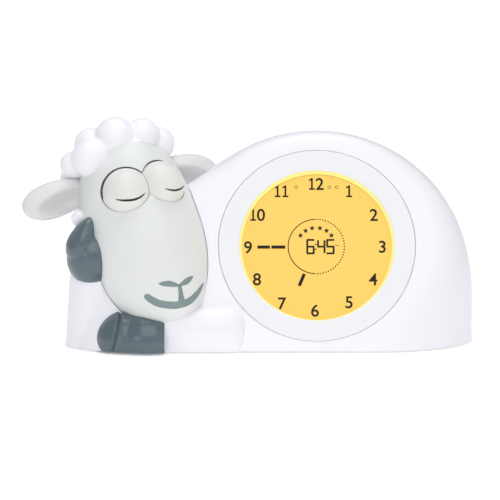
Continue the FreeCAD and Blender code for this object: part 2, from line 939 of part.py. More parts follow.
def dial_bezel():
    inner = "size.dial_radius"
    under = "size.bezel_thick - size.bezel_proud"
    step = inner + " + size.bezel_step"
    points = [
        (inner, "size.edge_break - size.bezel_proud"),
        (inner + " + size.edge_break", "-size.bezel_proud"),
        ("size.bezel_radius - size.edge_break", "-size.bezel_proud"),
        ("size.bezel_radius", "size.edge_break - size.bezel_proud"),
        ("size.bezel_radius", under),
        (step, under),
        (step, "size.lip_thick - size.bezel_proud"),
        (inner, "size.lip_thick - size.bezel_proud"),
    ]
    return revolved("dial_bezel", DIAL, points)


def light_ring():
    top = "size.lip_thick - size.bezel_proud"
    inner = "size.dial_radius"
    points = [
        (inner, top),
        (inner + " + size.ring_wall", top),
        (inner + " + size.ring_wall", "size.dial_depth"),
        (inner + " - size.dial_taper", "size.dial_depth"),
    ]
    return revolved("light_ring", DIAL, points)


def lcd_back():
    return "(size.dial_depth + size.lcd_thick)"


def guide_back():
    return "(size.dial_depth + size.lcd_thick + size.guide_thick)"


def round_plate(label, radius, y0, y1):
    points = [("0", y0), (radius, y0), (radius, y1), ("0", y1)]
    return revolved(label, DIAL, points)


def display_frame():
    """The cup that holds the dial's layers, with a flange under the shell's ledge."""
    inner = "(size.lcd_radius + size.cup_gap)"
    outer = "(size.lcd_radius + size.cup_gap + size.cup_wall)"
    flange_y = "(size.bezel_thick + size.ledge_thick - size.bezel_proud)"
    bottom = "(size.cup_depth - size.cup_floor)"
    shelf = "(%s - size.shelf_width)" % inner
    rim_y = "size.bezel_thick - size.bezel_proud + size.pilot_gap"
    points = [
        (inner, rim_y),
        (outer, rim_y),
        (outer, flange_y),
        ("size.flange_radius", flange_y),
        ("size.flange_radius", flange_y + " + size.cup_floor"),
        (outer, flange_y + " + size.cup_floor"),
        (outer, "size.cup_depth"),
        ("size.cup_eye_radius", "size.cup_depth"),
        ("size.cup_eye_radius", bottom),
        (shelf, bottom),
        (shelf, guide_back()),
        (inner, guide_back()),
    ]
    cup = turned_cutter(DIAL, points, "cup")
    posts = []
    for x, z in standoff_places():
        posts.append(rod(DIAL, x, z, "size.cup_depth", board_front(), "size.standoff_radius", "standoff"))
    return node(fused([cup] + posts, "cup_with_posts"), "display_frame")


def standoff_places():
    x = "(size.main_board_width / 2 - size.board_corner)"
    z = "(size.main_board_height / 2 - size.board_corner)"
    return [("-" + x, "-" + z), (x, "-" + z), ("-" + x, z), (x, z)]


def light_board():
    radius = "size.lcd_radius + size.cup_gap - size.shelf_width - size.cup_gap"
    bottom = "(size.cup_depth - size.cup_floor)"
    return round_plate("light_board", radius, bottom + " - size.board_thick", bottom)


def light_leds():
    leds = []
    count = int(size("led_count"))
    top = "(size.cup_depth - size.cup_floor - size.board_thick)"
    half = "size.led_size / 2"
    for index in range(count):
        angle = 2 * math.pi * index / count
        x = "size.led_ring_radius * %.5f" % math.cos(angle)
        z = "size.led_ring_radius * %.5f" % math.sin(angle)
        leds.append(
            box(
                DIAL,
                "%s - %s" % (x, half),
                "%s + %s" % (x, half),
                top + " - size.led_height",
                top,
                "%s - %s" % (z, half),
                "%s + %s" % (z, half),
                "led",
            )
        )
    return group("light_leds", leds)


def board_front():
    return "(size.cup_depth + size.standoff_height)"


def main_board():
    half_x = "size.main_board_width / 2"
    half_z = "size.main_board_height / 2"
    y1 = board_front() + " + size.board_thick"
    return upright_plate("main_board", DIAL, "-" + half_x, half_x, "-" + half_z, half_z, board_front(), y1)


# Chips on the main board: centre x and z, width, height and thickness
CHIPS = (
    (-14, 4, 14, 14, 1.6),
    (12, 10, 8, 5, 1.5),
    (13, -6, 5, 5, 1.2),
)
CAPACITORS = ((27, -14), (27, -4))


def board_chips():
    back = board_front() + " + size.board_thick"
    chips = []
    for x, z, wide, tall, thick in CHIPS:
        chips.append(
            box(
                DIAL,
                "%s - %s" % (x, wide / 2),
                "%s + %s" % (x, wide / 2),
                back,
                "%s + %s" % (back, thick),
                "%s - %s" % (z, tall / 2),
                "%s + %s" % (z, tall / 2),
                "chip",
            )
        )
    top = back + " + size.capacitor_height"
    for x, z in CAPACITORS:
        chips.append(rod(DIAL, str(x), str(z), back, top, "size.capacitor_radius", "capacitor"))
    return group("board_chips", chips)


def ribbon_cable():
    """A flat cable from the light board through the cup's eye to the main board."""
    front = "(size.cup_depth - size.cup_floor)"
    body = new_body("ribbon_cable", DIAL)
    sketch = new_sketch(body, "YZ_Plane")
    polygon(
        sketch,
        [
            (front, "size.ribbon_front_x"),
            (front, "size.ribbon_front_x + size.ribbon_thick"),
            (board_front(), "size.ribbon_rear_x"),
            (board_front(), "size.ribbon_rear_x - size.ribbon_thick"),
        ],
    )
    pad(body, sketch, "2 * size.ribbon_half_width", both=True)
    return body


# Rear side, in the rear frame: Y is 0 at the outer face and negative inside


def rear_button(index, label):
    x = button_x(index)
    frame = REAR.multiply(frame_at(val(x), 0, size("button_row_z")))
    flange_y = "(size.wall + size.stop_gap)"
    points = [
        ("0", "size.button_proud"),
        ("size.button_radius - size.button_edge", "size.button_proud"),
        ("size.button_radius", "size.button_proud - size.button_edge"),
        ("size.button_radius", "-" + flange_y),
        ("size.button_radius + size.flange_width", "-" + flange_y),
        ("size.button_radius + size.flange_width", "-(%s + size.button_flange_thick)" % flange_y),
        ("size.stem_radius", "-(%s + size.button_flange_thick)" % flange_y),
        ("size.stem_radius", "-(%s + size.button_flange_thick + size.stem_length)" % flange_y),
        ("0", "-(%s + size.button_flange_thick + size.stem_length)" % flange_y),
    ]
    return revolved(label, frame, points)


def stem_end():
    return "(size.wall + size.stop_gap + size.button_flange_thick + size.stem_length)"


def plunger_top():
    return "(%s + size.button_travel + size.stop_gap)" % stem_end()


def tact_switches():
    switches = []
    half = "size.tact_size / 2"
    body_top = "(%s + size.tact_plunger_height)" % plunger_top()
    for index in range(int(size("button_count"))):
        x = button_x(index)
        z = "size.button_row_z"
        case = box(
            REAR,
            "%s - %s" % (x, half),
            "%s + %s" % (x, half),
            "-(%s + size.tact_height)" % body_top,
            "-" + body_top,
            "%s - %s" % (z, half),
            "%s + %s" % (z, half),
            "tact_case",
        )
        plunger = rod(REAR, x, z, "-" + body_top, "-" + plunger_top(), "size.tact_plunger_radius", "plunger")
        switches.append(fused([case, plunger], "tact"))
    return group("tact_switches", switches)


def keypad_back():
    return "(%s + size.tact_plunger_height + size.tact_height)" % plunger_top()


def keypad_board():
    half_x = "(size.button_pitch * size.button_count / 2)"
    half_z = "size.keypad_half_height"
    return upright_plate(
        "keypad_board",
        REAR,
        "size.dome_x - " + half_x,
        "size.dome_x + " + half_x,
        "size.button_row_z - " + half_z,
        "size.button_row_z + " + half_z,
        "-(%s + size.board_thick)" % keypad_back(),
        "-" + keypad_back(),
    )


# Battery bay

CELLS = 3


def bay_height():
    return "(%d * (2 * size.cell_radius + size.cell_gap) + size.cell_gap)" % CELLS


def cell_z(index):
    first = "size.bay_z + size.cell_gap + size.cell_radius"
    return first + " + %d * (2 * size.cell_radius + size.cell_gap)" % index


def cell_y():
    return "(size.wall + size.bay_depth - size.cell_gap - size.cell_radius)"


def tab_places():
    return ("size.bay_x - size.tab_spread", "size.bay_x + size.tab_spread")


def battery_box():
    half = "(size.bay_length / 2)"
    wall = "size.bay_wall"
    top = "size.bay_z + " + bay_height()
    block = box(
        REAR,
        "size.bay_x - %s - %s" % (half, wall),
        "size.bay_x + %s + %s" % (half, wall),
        "-(size.wall + size.bay_depth + %s)" % wall,
        "-size.wall",
        "size.bay_z - " + wall,
        "%s + %s" % (top, wall),
        "bay_block",
    )
    hollow = box(
        REAR,
        "size.bay_x - " + half,
        "size.bay_x + " + half,
        "-(size.wall + size.bay_depth)",
        "0",
        "size.bay_z",
        top,
        "bay_hollow",
    )
    tools = [hollow]
    for x in tab_places():
        tools.append(
            box(
                REAR,
                x + " - size.tab_width / 2 - size.door_gap",
                x + " + size.tab_width / 2 + size.door_gap",
                "-(size.wall + size.tab_reach + size.tab_thick)",
                "0",
                "size.bay_z - 2 * " + wall,
                "size.bay_z + size.thumb_notch",
                "tab_way",
            )
        )
    return node(cut(block, fused(tools, "bay_cuts"), "bay"), "battery_box")


def batteries():
    cells = []
    for index in range(CELLS):
        side = 1 if index % 2 else -1
        start = "size.bay_x - size.cell_length / 2 - %s * size.cell_nub / 2" % side
        y = "-" + cell_y()
        can_end = start + " + size.cell_length"
        can = cross_rod(REAR, y, cell_z(index), start, can_end, "size.cell_radius", "can")
        if side > 0:
            nub_x = can_end
        else:
            nub_x = start + " - size.cell_nub"
        nub_end = nub_x + " + size.cell_nub"
        nub = cross_rod(REAR, y, cell_z(index), nub_x, nub_end, "size.cell_nub_radius", "nub")
        cells.append(fused([can, nub], "cell"))
    return group("batteries", cells)


def battery_contacts():
    """A plate at each end of each cell, with a coned spring button on the flat end."""
    contacts = []
    half = "(size.bay_length / 2)"
    spare = "(%s - (size.cell_length + size.cell_nub) / 2)" % half
    for index in range(CELLS):
        flat_side = -1 if index % 2 else 1
        for side in (-1, 1):
            wall_x = "size.bay_x + %d * %s" % (side, half)
            inward_x = wall_x + " - %d * size.contact_thick" % side
            x0, x1 = (wall_x, inward_x) if side < 0 else (inward_x, wall_x)
            z = cell_z(index)
            y = cell_y()
            half_plate = "size.contact_half_height"
            y0 = "-(%s + %s)" % (y, half_plate)
            y1 = "-(%s - %s)" % (y, half_plate)
            z0 = "%s - %s" % (z, half_plate)
            z1 = "%s + %s" % (z, half_plate)
            plate = box(REAR, x0, x1, y0, y1, z0, z1, "plate")
            reach = "(%s - size.contact_thick)" % spare
            cone = doc.addObject("Part::Cone", "spring_cone")
            springy = side == flat_side
            cone.setExpression("Radius1", "size.spring_wide" if springy else "size.spring_slim")
            cone.setExpression("Radius2", "size.spring_slim" if springy else "size.nub_cone")
            cone.setExpression("Height", reach)
            inward = turned(-90 * side, Y_AXIS)
            place = frame_at(val(inward_x), -val(y), val(z), inward)
            cone.Placement = REAR.multiply(place)
            contacts.append(fused([plate, cone], "contact"))
    return group("battery_contacts", contacts)


def battery_door():
    """A plate that turns on the half-round bead along its lower edge, held in by two tabs."""
    half = "(size.bay_length / 2 + size.door_seat - size.door_gap)"
    z0 = "(size.bay_z - size.door_seat + size.door_gap)"
    z1 = "(size.bay_z + %s + size.door_seat - size.door_gap)" % bay_height()
    body = new_body("battery_door", REAR)
    bead_z = z0 + " + size.door_thick / 2"
    sketch = new_sketch(body, "XZ_Plane")
    rectangle(sketch, "size.bay_x - " + half, "size.bay_x + " + half, bead_z, z1)
    pad(body, sketch, "size.door_thick")
    bead = new_sketch(body, "YZ_Plane", "size.bay_x")
    circle(bead, "-size.door_thick / 2", bead_z, "size.door_thick / 2")
    pad(body, bead, "2 * " + half, both=True)
    tab_y = "(size.wall + size.door_gap)"
    tab_sketch = new_sketch(body, "XZ_Plane", tab_y)
    root_sketch = new_sketch(body, "XZ_Plane", "size.door_thick / 2")
    for x in tab_places():
        x0 = x + " - size.tab_width / 2"
        x1 = x + " + size.tab_width / 2"
        rectangle(tab_sketch, x0, x1, z0 + " - size.tab_reach", z0 + " + 2 * size.tab_thick")
        rectangle(root_sketch, x0, x1, z0, z0 + " + 2 * size.tab_thick")
    pad(body, root_sketch, "%s - size.door_thick / 2" % tab_y)
    pad(body, tab_sketch, "size.tab_thick")
    screw_sketch = new_sketch(body, "XZ_Plane")
    circle(screw_sketch, "size.bay_x", door_screw_z(), "size.screw_radius + size.pilot_gap")
    pocket(body, screw_sketch)
    grip_sketch = new_sketch(body, "XZ_Plane")
    for step in range(5):
        low = "%s - size.grip_top - %d * size.grip_pitch" % (z1, step)
        high = low + " + size.grip_width"
        rectangle(grip_sketch, "size.bay_x - size.grip_far", "size.bay_x - size.grip_near", low, high)
        rectangle(grip_sketch, "size.bay_x + size.grip_near", "size.bay_x + size.grip_far", low, high)
    pocket(body, grip_sketch, "size.grip_depth")
    return body


def door_screw_z():
    return "(size.bay_z + %s - 1.4 * size.screw_head_radius)" % bay_height()


def door_screw():
    x = "size.bay_x"
    z = door_screw_z()
    tip = "-(size.door_thick + size.door_screw_bite)"
    shank = rod(REAR, x, z, tip, "0", "size.screw_radius", "door_shank")
    head = rod(REAR, x, z, "0", "size.screw_head_thick / 2", "size.screw_head_radius", "door_screw_head")
    return node(fused([shank, head], "door_screw_solid"), "door_screw")


# Speaker, switch and inlet


def speaker_frame():
    frame = REAR.multiply(frame_at(size("speaker_x"), 0, size("speaker_z")))
    face = "size.wall"
    inner = "size.speaker_cone_radius + size.speaker_rim"
    back = "(size.wall + size.speaker_depth)"
    points = [
        (inner, "-" + face),
        ("size.speaker_radius", "-" + face),
        ("size.speaker_radius", "-(%s + size.speaker_plate)" % face),
        ("size.magnet_radius + size.speaker_plate", "-" + back),
        ("size.stem_radius", "-" + back),
        ("size.stem_radius", "-(%s - size.speaker_web)" % back),
        ("size.magnet_radius + size.paper_thick", "-(%s - size.speaker_web)" % back),
        (inner, "-(%s + size.speaker_plate + size.paper_thick)" % face),
    ]
    return revolved("speaker_frame", frame, points)


def speaker_cone():
    """A paper cone with a domed cap in its middle and a rolled surround at its rim."""
    frame = REAR.multiply(frame_at(size("speaker_x"), 0, size("speaker_z")))
    outer = "size.speaker_cone_radius"
    bowl = outer + " - size.surround"
    cap_y = "(size.wall + 0.75 * size.cone_depth)"
    deep_y = "(size.wall + size.cone_depth)"
    roll_y = "(size.wall + 0.33 * size.cone_depth)"
    rim_y = "(size.wall + 0.19 * size.cone_depth)"
    seat_y = "(size.wall + 0.27 * size.cone_depth)"
    points = [
        ("0", "-" + cap_y),
        ("size.dust_cap_radius", "-" + deep_y),
        (bowl, "-" + roll_y),
        (outer, "-" + rim_y),
        (outer + " + size.speaker_rim", "-" + seat_y),
        (outer + " + size.speaker_rim", "-(%s + size.speaker_rim)" % seat_y),
        (bowl, "-(%s + size.paper_thick)" % roll_y),
        ("size.dust_cap_radius", "-(%s + size.paper_thick)" % deep_y),
        ("0", "-(%s + size.paper_thick)" % deep_y),
    ]
    return revolved("speaker_cone", frame, points)


def speaker_magnet():
    frame = REAR.multiply(frame_at(size("speaker_x"), 0, size("speaker_z")))
    top = "(size.wall + size.speaker_depth)"
    points = [
        ("0", "-" + top),
        ("size.magnet_radius", "-" + top),
        ("size.magnet_radius", "-(%s + size.magnet_thick)" % top),
        ("0", "-(%s + size.magnet_thick)" % top),
    ]
    return revolved("speaker_magnet", frame, points)


def switch_knob():
    body = new_body("switch_knob", REAR)
    half = "size.knob_width / 2"
    start = "(size.switch_x - size.switch_travel / 2)"
    low = "size.switch_z - size.knob_height / 2"
    high = "size.switch_z + size.knob_height / 2"
    cap = new_sketch(body, "XZ_Plane", "-size.knob_proud")
    rectangle(cap, start + " - " + half, start + " + " + half, low, high)
    pad(body, cap, "size.knob_proud + size.wall + size.stop_gap")
    plate = new_sketch(body, "XZ_Plane", "size.wall + size.stop_gap")
    wide = "(size.knob_width / 2 + size.switch_travel + size.knob_plate_lap)"
    tall = "(size.switch_slot_height / 2 + size.knob_plate)"
    x0, x1 = start + " - " + wide, start + " + " + wide
    rectangle(plate, x0, x1, "size.switch_z - " + tall, "size.switch_z + " + tall)
    pad(body, plate, "size.knob_plate")
    grooves = new_sketch(body, "XZ_Plane", "-size.knob_proud")
    for step in (-1, 0, 1):
        middle = "%s + %d * size.knob_groove_pitch" % (start, step)
        rectangle(grooves, middle + " - size.knob_groove", middle + " + size.knob_groove", low, high)
    pocket(body, grooves, "size.knob_groove_depth")
    return body


def switch_body():
    """The slide switch's case, held on the inside of the wall by two ears beside the knob's plate."""
    y_plate = "(size.wall + size.knob_plate + 2 * size.stop_gap)"
    wide = "(size.knob_width / 2 + 1.5 * size.switch_travel + size.switch_ear)"
    high = "(size.switch_slot_height / 2 + size.knob_plate + size.stop_gap)"
    x0 = "size.switch_x - " + wide
    x1 = "size.switch_x + " + wide
    case = box(
        REAR,
        x0,
        x1,
        "-(%s + size.switch_case_depth)" % y_plate,
        "-" + y_plate,
        "size.switch_z - %s - size.switch_ear" % high,
        "size.switch_z + %s + size.switch_ear" % high,
        "switch_case",
    )
    ears = []
    for side in (-1, 1):
        z0 = "size.switch_z + %d * %s" % (side, high)
        z1 = "%s + %d * size.switch_ear" % (z0, side)
        low, top = (z1, z0) if side < 0 else (z0, z1)
        ears.append(box(REAR, x0, x1, "-" + y_plate, "-size.wall", low, top, "ear"))
    return node(fused([case] + ears, "switch_case_with_ears"), "switch_body")


def power_inlet():
    """The socket's sleeve: open at the rear face, closed by a base inside."""
    frame = REAR.multiply(frame_at(size("inlet_x"), 0, size("inlet_z")))
    outer = "(size.inlet_body / 2 - 2 * size.door_gap)"
    depth = "size.inlet_length"
    points = [
        ("size.inlet_radius", "-(%s - size.inlet_base)" % depth),
        ("size.inlet_radius", "0"),
        (outer, "0"),
        (outer, "-size.wall"),
        (outer + " + size.inlet_collar", "-size.wall"),
        (outer + " + size.inlet_collar", "-" + depth),
        ("0", "-" + depth),
        ("0", "-(%s - size.inlet_base)" % depth),
    ]
    return revolved("power_inlet", frame, points)


def inlet_pin():
    """The pin in the middle of the socket."""
    start = "-(size.inlet_length - size.inlet_base)"
    end = "-size.inlet_pin_sunk"
    pin = rod(REAR, "size.inlet_x", "size.inlet_z", start, end, "size.inlet_pin_radius", "pin")
    return node(pin, "inlet_pin")


# Head, in the head frame


def wool_side():
    """Everything above the forehead's hairline or behind the cheeks."""
    lean = math.radians(size("hair_slope"))
    reach = 3 * size("head_half_height")
    blocks = []
    for y, z, normal in (
        (size("hair_y"), size("hair_z"), Vector(0, math.cos(lean), math.sin(lean))),
        (size("nape_y"), 0, Y_AXIS),
    ):
        block = doc.addObject("Part::Box", "wool_side")
        block.Length = 2 * reach
        block.Width = 2 * reach
        block.Height = reach
        place = frame_at(0, y, z, FreeCAD.Rotation(Z_AXIS, normal))
        block.Placement = HEAD.multiply(place).multiply(frame_at(-reach, -reach, 0))
        blocks.append(block)
    return fused(blocks, "wool_sides")


EYES = HEAD.multiply(frame_at(0, size("eye_y"), size("eye_z")))
PINION_DISTANCE = "(size.gear_module * (size.gear_teeth + size.pinion_teeth) / 2)"


def neck_rod(y0, y1, radius, name):
    return rod(HEAD, "size.neck_x", "size.neck_z", y0, y1, radius, name)


def face_shell():
    wall = cut(head_egg("0", "face_egg"), head_egg("-size.wall", "face_hollow"), "face_wall")
    face = cut(wall, wool_side(), "face_part")
    sockets = []
    for side in (-1, 1):
        x = side * size("eye_spread")
        sockets.append(ball(EYES, x, 0, 0, "size.eye_radius + size.eye_gap", "socket"))
    return node(cut(face, fused(sockets, "sockets"), "face"), "face_shell")


# Curls over the forehead: centre in the head frame, then radius
FRONT_CURLS = (
    (-4.1, -12.0, 56.6, 12.0),
    (12.9, -12.0, 54.3, 10.2),
    (25.0, -8.0, 51.2, 8.4),
    (30.0, -5.0, 42.0, 6.6),
    (-17.7, -2.0, 60.8, 10.8),
    (-24.2, -8.0, 49.1, 10.2),
    (-31.9, 2.0, 48.9, 7.8),
    (-35.0, 8.5, 45.8, 6.4),
    (-36.3, 2.0, 15.2, 4.8),
)

# Curls on the crown and the back: angle from the face over the crown, sideways angles, radius share
CURL_ROWS = (
    (99, (-16, 14, 42), 1.00),
    (124, (-70, -34, -4, 26), 1.00),
    (148, (-58, -22, 12), 1.00),
)


def curls():
    balls = []
    for x, y, z, radius in FRONT_CURLS:
        balls.append(ball(HEAD, x, y, z, str(radius), "curl"))
    for over, sideways, share in CURL_ROWS:
        for side in sideways:
            up = math.radians(over)
            out = math.radians(side)
            direction = Vector(math.sin(out), -math.cos(up) * math.cos(out), math.sin(up) * math.cos(out))
            reach = egg_reach(direction) - size("lobe_radius") * share * size("lobe_sink")
            centre = direction * reach
            radius = "size.lobe_radius * %s" % share
            balls.append(ball(HEAD, centre.x, centre.y, centre.z, radius, "curl"))
    return balls


def egg_reach(direction):
    """How far the head's surface lies from its middle in a direction."""
    low, high = 0.0, 2 * size("head_half_height")
    for _ in range(40):
        middle = (low + high) / 2
        point = direction * middle
        along = point.z / size("head_half_height")
        inside = abs(along) < 1
        if inside:
            across = egg_width_share(along)
            wide = point.x / (size("head_half_width") * across)
            deep = point.y / (size("head_half_depth") * across)
            inside = wide * wide + deep * deep < 1
        low, high = (middle, high) if inside else (low, middle)
    return low


def egg_width_share(along):
    stations = ((-1.0, 0.0),) + HEAD_STATIONS + ((1.0, 0.0),)
    for (a0, w0), (a1, w1) in zip(stations, stations[1:]):
        if along <= a1:
            return max(w0 + (w1 - w0) * (along - a0) / (a1 - a0), 0.02)
    return 0.02


def wool_cap():
    """The head's shell behind the hairline, with the posts that take the bracket's screws."""
    egg = head_egg("0", "cap_egg")
    wall = cut(egg, head_egg("-size.wall", "cap_hollow"), "cap_wall")
    crown = common(wall, wool_side(), "crown")
    neck_way = neck_rod("0", FAR, "size.neck_radius + size.pilot_gap", "neck_way")
    solids = [cut(crown, neck_way, "crown_open")]
    start = "size.bracket_back_y"
    for x in bracket_screw_places():
        post_start = start + " + size.bracket_thick"
        post_end = post_start + " + size.post_length"
        pilot_end = start + " + size.post_pilot"
        post = rod(HEAD, x, "size.eye_z", post_start, post_end, "2 * size.screw_radius", "post")
        pilot = rod(HEAD, x, "size.eye_z", start, pilot_end, "size.screw_radius + size.pilot_gap", "pilot")
        solids.append(cut(common(post, egg, "post_inside"), pilot, "post_drilled"))
    return node(fused(solids, "crown_with_posts", refined=False), "wool_cap")


def wool_curls():
    """The round curls, moulded as one trim and glued on the crown."""
    clear = cut(fused(curls(), "curls"), outer_form, "curls_clear")
    return node(cut(clear, head_egg("0", "curl_egg"), "curls_outside"), "wool_curls")


def bracket_screw_places():
    reach = "(size.bracket_half_width - size.bracket_screw_inset)"
    return ("-" + reach, reach)


def ear_form(side):
    droop = turned(side * size("ear_droop"), Y_AXIS)
    x = size("ear_right_x") if side > 0 else -size("ear_left_x")
    frame = HEAD.multiply(frame_at(x, size("ear_y"), size("ear_z"), droop))
    halves = ("size.ear_half_length", "size.ear_half_thick", "size.ear_half_height")
    return frame, ellipsoid(frame, "0", "0", "0", *halves, "ear_form")


def ear(side, label):
    frame, form = ear_form(side)
    hollow = ellipsoid(
        frame,
        "%d * size.ear_half_length * 0.12" % side,
        "-size.ear_half_thick * 0.95",
        "-size.ear_half_height * 0.16",
        "size.ear_half_length * 0.72",
        "size.ear_half_thick * 0.75",
        "size.ear_half_height * 0.62",
        "ear_hollow",
    )
    open_form = cut(form, hollow, label + "_open")
    outside = cut(open_form, head_egg("size.ear_gap", "ear_egg"), label + "_outside")
    if side < 0:
        return node(outside, label)
    beside = cut(outside, outer_form, label + "_beside")
    return node(cut(beside, fused(curls(), "ear_curls"), label + "_form"), label)


def hoof_floor():
    wide = "size.floor_hoof_half_width"
    deep = "size.floor_hoof_half_depth"
    tall = "size.floor_hoof_half_height"
    x = "size.floor_hoof_x"
    y = "size.floor_hoof_y"
    z = "size.floor_hoof_z"
    front_toe = ellipsoid(WORLD, x, y, z, wide, deep, tall, "front_toe")
    back_x = x + " - size.toe_spread"
    back_toe = ellipsoid(WORLD, back_x, y + " + 1.5", z + " + 0.5", wide, deep, tall, "back_toe")
    toes = fused([front_toe, back_toe], "floor_toes")
    below = box(WORLD, "-" + FAR, FAR, "-" + FAR, FAR, "-" + FAR, "size.base_z", "under_hoof")
    beyond = box(WORLD, "size.floor_hoof_end_x", FAR, "-" + FAR, FAR, "-" + FAR, FAR, "beyond_hoof")
    trimmed = cut(cut(cut(toes, below), beyond), outer_form, "hoof_clear")
    return node(cut(trimmed, head_egg("size.hoof_gap", "hoof_egg"), "floor_hoof"), "hoof_floor")


def hoof_cheek():
    wide = "size.cheek_hoof_half_width"
    deep = "size.cheek_hoof_half_depth"
    tall = "size.cheek_hoof_half_height"
    x = "size.cheek_hoof_x"
    y = "size.cheek_hoof_y"
    z = "size.cheek_hoof_z"
    lower_toe = ellipsoid(WORLD, x, y, z, wide, deep, tall, "lower_toe")
    toe_at = (x + " + 2.5", y + " + 2", z + " + 6")
    upper_toe = ellipsoid(WORLD, *toe_at, wide + " * 0.9", deep + " * 0.8", tall, "upper_toe")
    toes = fused([lower_toe, upper_toe], "cheek_toes")
    trimmed = cut(toes, outer_form, "cheek_clear")
    beside = cut(trimmed, head_egg("size.hoof_gap", "cheek_egg"), "cheek_beside")
    return node(cut(beside, fused(curls(), "cheek_curls"), "cheek_hoof"), "hoof_cheek")


# Eyes and their drive, about the eyes' own axis


def eye_opening():
    """The wedge behind the eyes that stays open for the gear and the bracket."""
    wedge = doc.addObject("Part::Cylinder", "eye_opening")
    wedge.setExpression("Radius", "2 * size.eye_radius")
    wedge.setExpression("Height", "6 * size.eye_radius")
    wedge.setExpression("Angle", "360 - size.eye_cover")
    start = turned(-90 - size("eye_cover_start"), X_AXIS)
    along_x = start.multiply(turned(90, Y_AXIS))
    wedge.Placement = EYES.multiply(frame_at(-3 * size("eye_radius"), 0, 0, along_x))
    return wedge


def eye(side, label):
    x = side * size("eye_spread")
    outer = ball(EYES, x, 0, 0, "size.eye_radius", "eye_outer")
    inner = ball(EYES, x, 0, 0, "size.eye_radius - size.eye_wall", "eye_inner")
    reach = "2 * size.eye_radius"
    inner_x, outer_x = "%d * size.eye_split" % side, "%d * 3 * size.eye_radius" % side
    low, high = (inner_x, outer_x) if side > 0 else (outer_x, inner_x)
    half = box(EYES, low, high, "-" + reach, reach, "-" + reach, reach, "eye_half")
    shell = common(cut(outer, inner), half, "eye_shell")
    web_x0 = "%d * size.eye_web_x" % side
    web_x1 = "%d * (size.eye_web_x + size.eye_web)" % side
    low, high = (web_x1, web_x0) if side < 0 else (web_x0, web_x1)
    inner_again = ball(EYES, x, 0, 0, "size.eye_radius - size.eye_wall / 2", "web_trim")
    web = common(cross_rod(EYES, "0", "0", low, high, "size.eye_radius", "web_disc"), inner_again, "eye_web")
    open_part = cut(fused([shell, web], "eye_closed"), eye_opening(), "eye_open")
    hub_x0 = "%d * (size.bearing_x + size.bearing_thick + size.hub_gap)" % side
    low, high = (web_x1, hub_x0) if side < 0 else (hub_x0, web_x1)
    hub = cross_rod(EYES, "0", "0", low, high, "size.eye_hub_radius", "eye_hub")
    bore_x0, bore_x1 = low + " - size.eye_web", high + " + size.eye_web"
    bore = cross_rod(EYES, "0", "0", bore_x0, bore_x1, "size.shaft_radius", "eye_bore")
    return node(cut(fused([open_part, hub], "eye_solid"), bore, "eye"), label)


def eye_shaft():
    reach = "(size.eye_web_x + size.eye_web)"
    return node(cross_rod(EYES, "0", "0", "-" + reach, reach, "size.shaft_radius", "shaft"), "eye_shaft")


def involute(angle):
    return math.tan(angle) - angle


def tooth(pitch_radius, teeth, tip_radius, root_radius, thick):
    """One tooth with involute flanks, pointing along X and rising along Z from 0 to thick."""
    pressure = math.radians(size("pressure_angle"))
    base_radius = pitch_radius * math.cos(pressure)
    half_at_pitch = math.pi / (2 * teeth) - size("tooth_backlash") / (4 * pitch_radius)

    def half_angle(radius):
        if radius <= base_radius:
            return half_at_pitch + involute(pressure)
        return half_at_pitch + involute(pressure) - involute(math.acos(base_radius / radius))

    start = max(base_radius, root_radius)
    steps = 4
    radii = [start + (tip_radius - start) * i / steps for i in range(steps + 1)]

    def point(radius, side):
        angle = side * half_angle(radius)
        return Vector(radius * math.cos(angle), radius * math.sin(angle), 0)

    inner_radius = root_radius - size("root_clearance")
    edges = []
    for side in (1, -1):
        curve = Part.BSplineCurve()
        curve.interpolate([point(r, side) for r in radii])
        edges.append(curve.toShape())
        spread = half_angle(start)
        foot = Vector(inner_radius * math.cos(spread), side * inner_radius * math.sin(spread), 0)
        edges.append(Part.makeLine(foot, point(start, side)))
    edges.append(Part.makeLine(point(tip_radius, 1), point(tip_radius, -1)))
    angle = half_angle(start)
    feet = [Vector(inner_radius * math.cos(angle), s * inner_radius * math.sin(angle), 0) for s in (1, -1)]
    edges.append(Part.makeLine(*feet))
    wire = Part.Wire(Part.__sortEdges__(edges))
    return Part.Face(wire).extrude(Vector(0, 0, thick))


def turned_tooth(shape, angle):
    copy = shape.copy()
    copy.rotate(Vector(0, 0, 0), Z_AXIS, angle)
    return copy


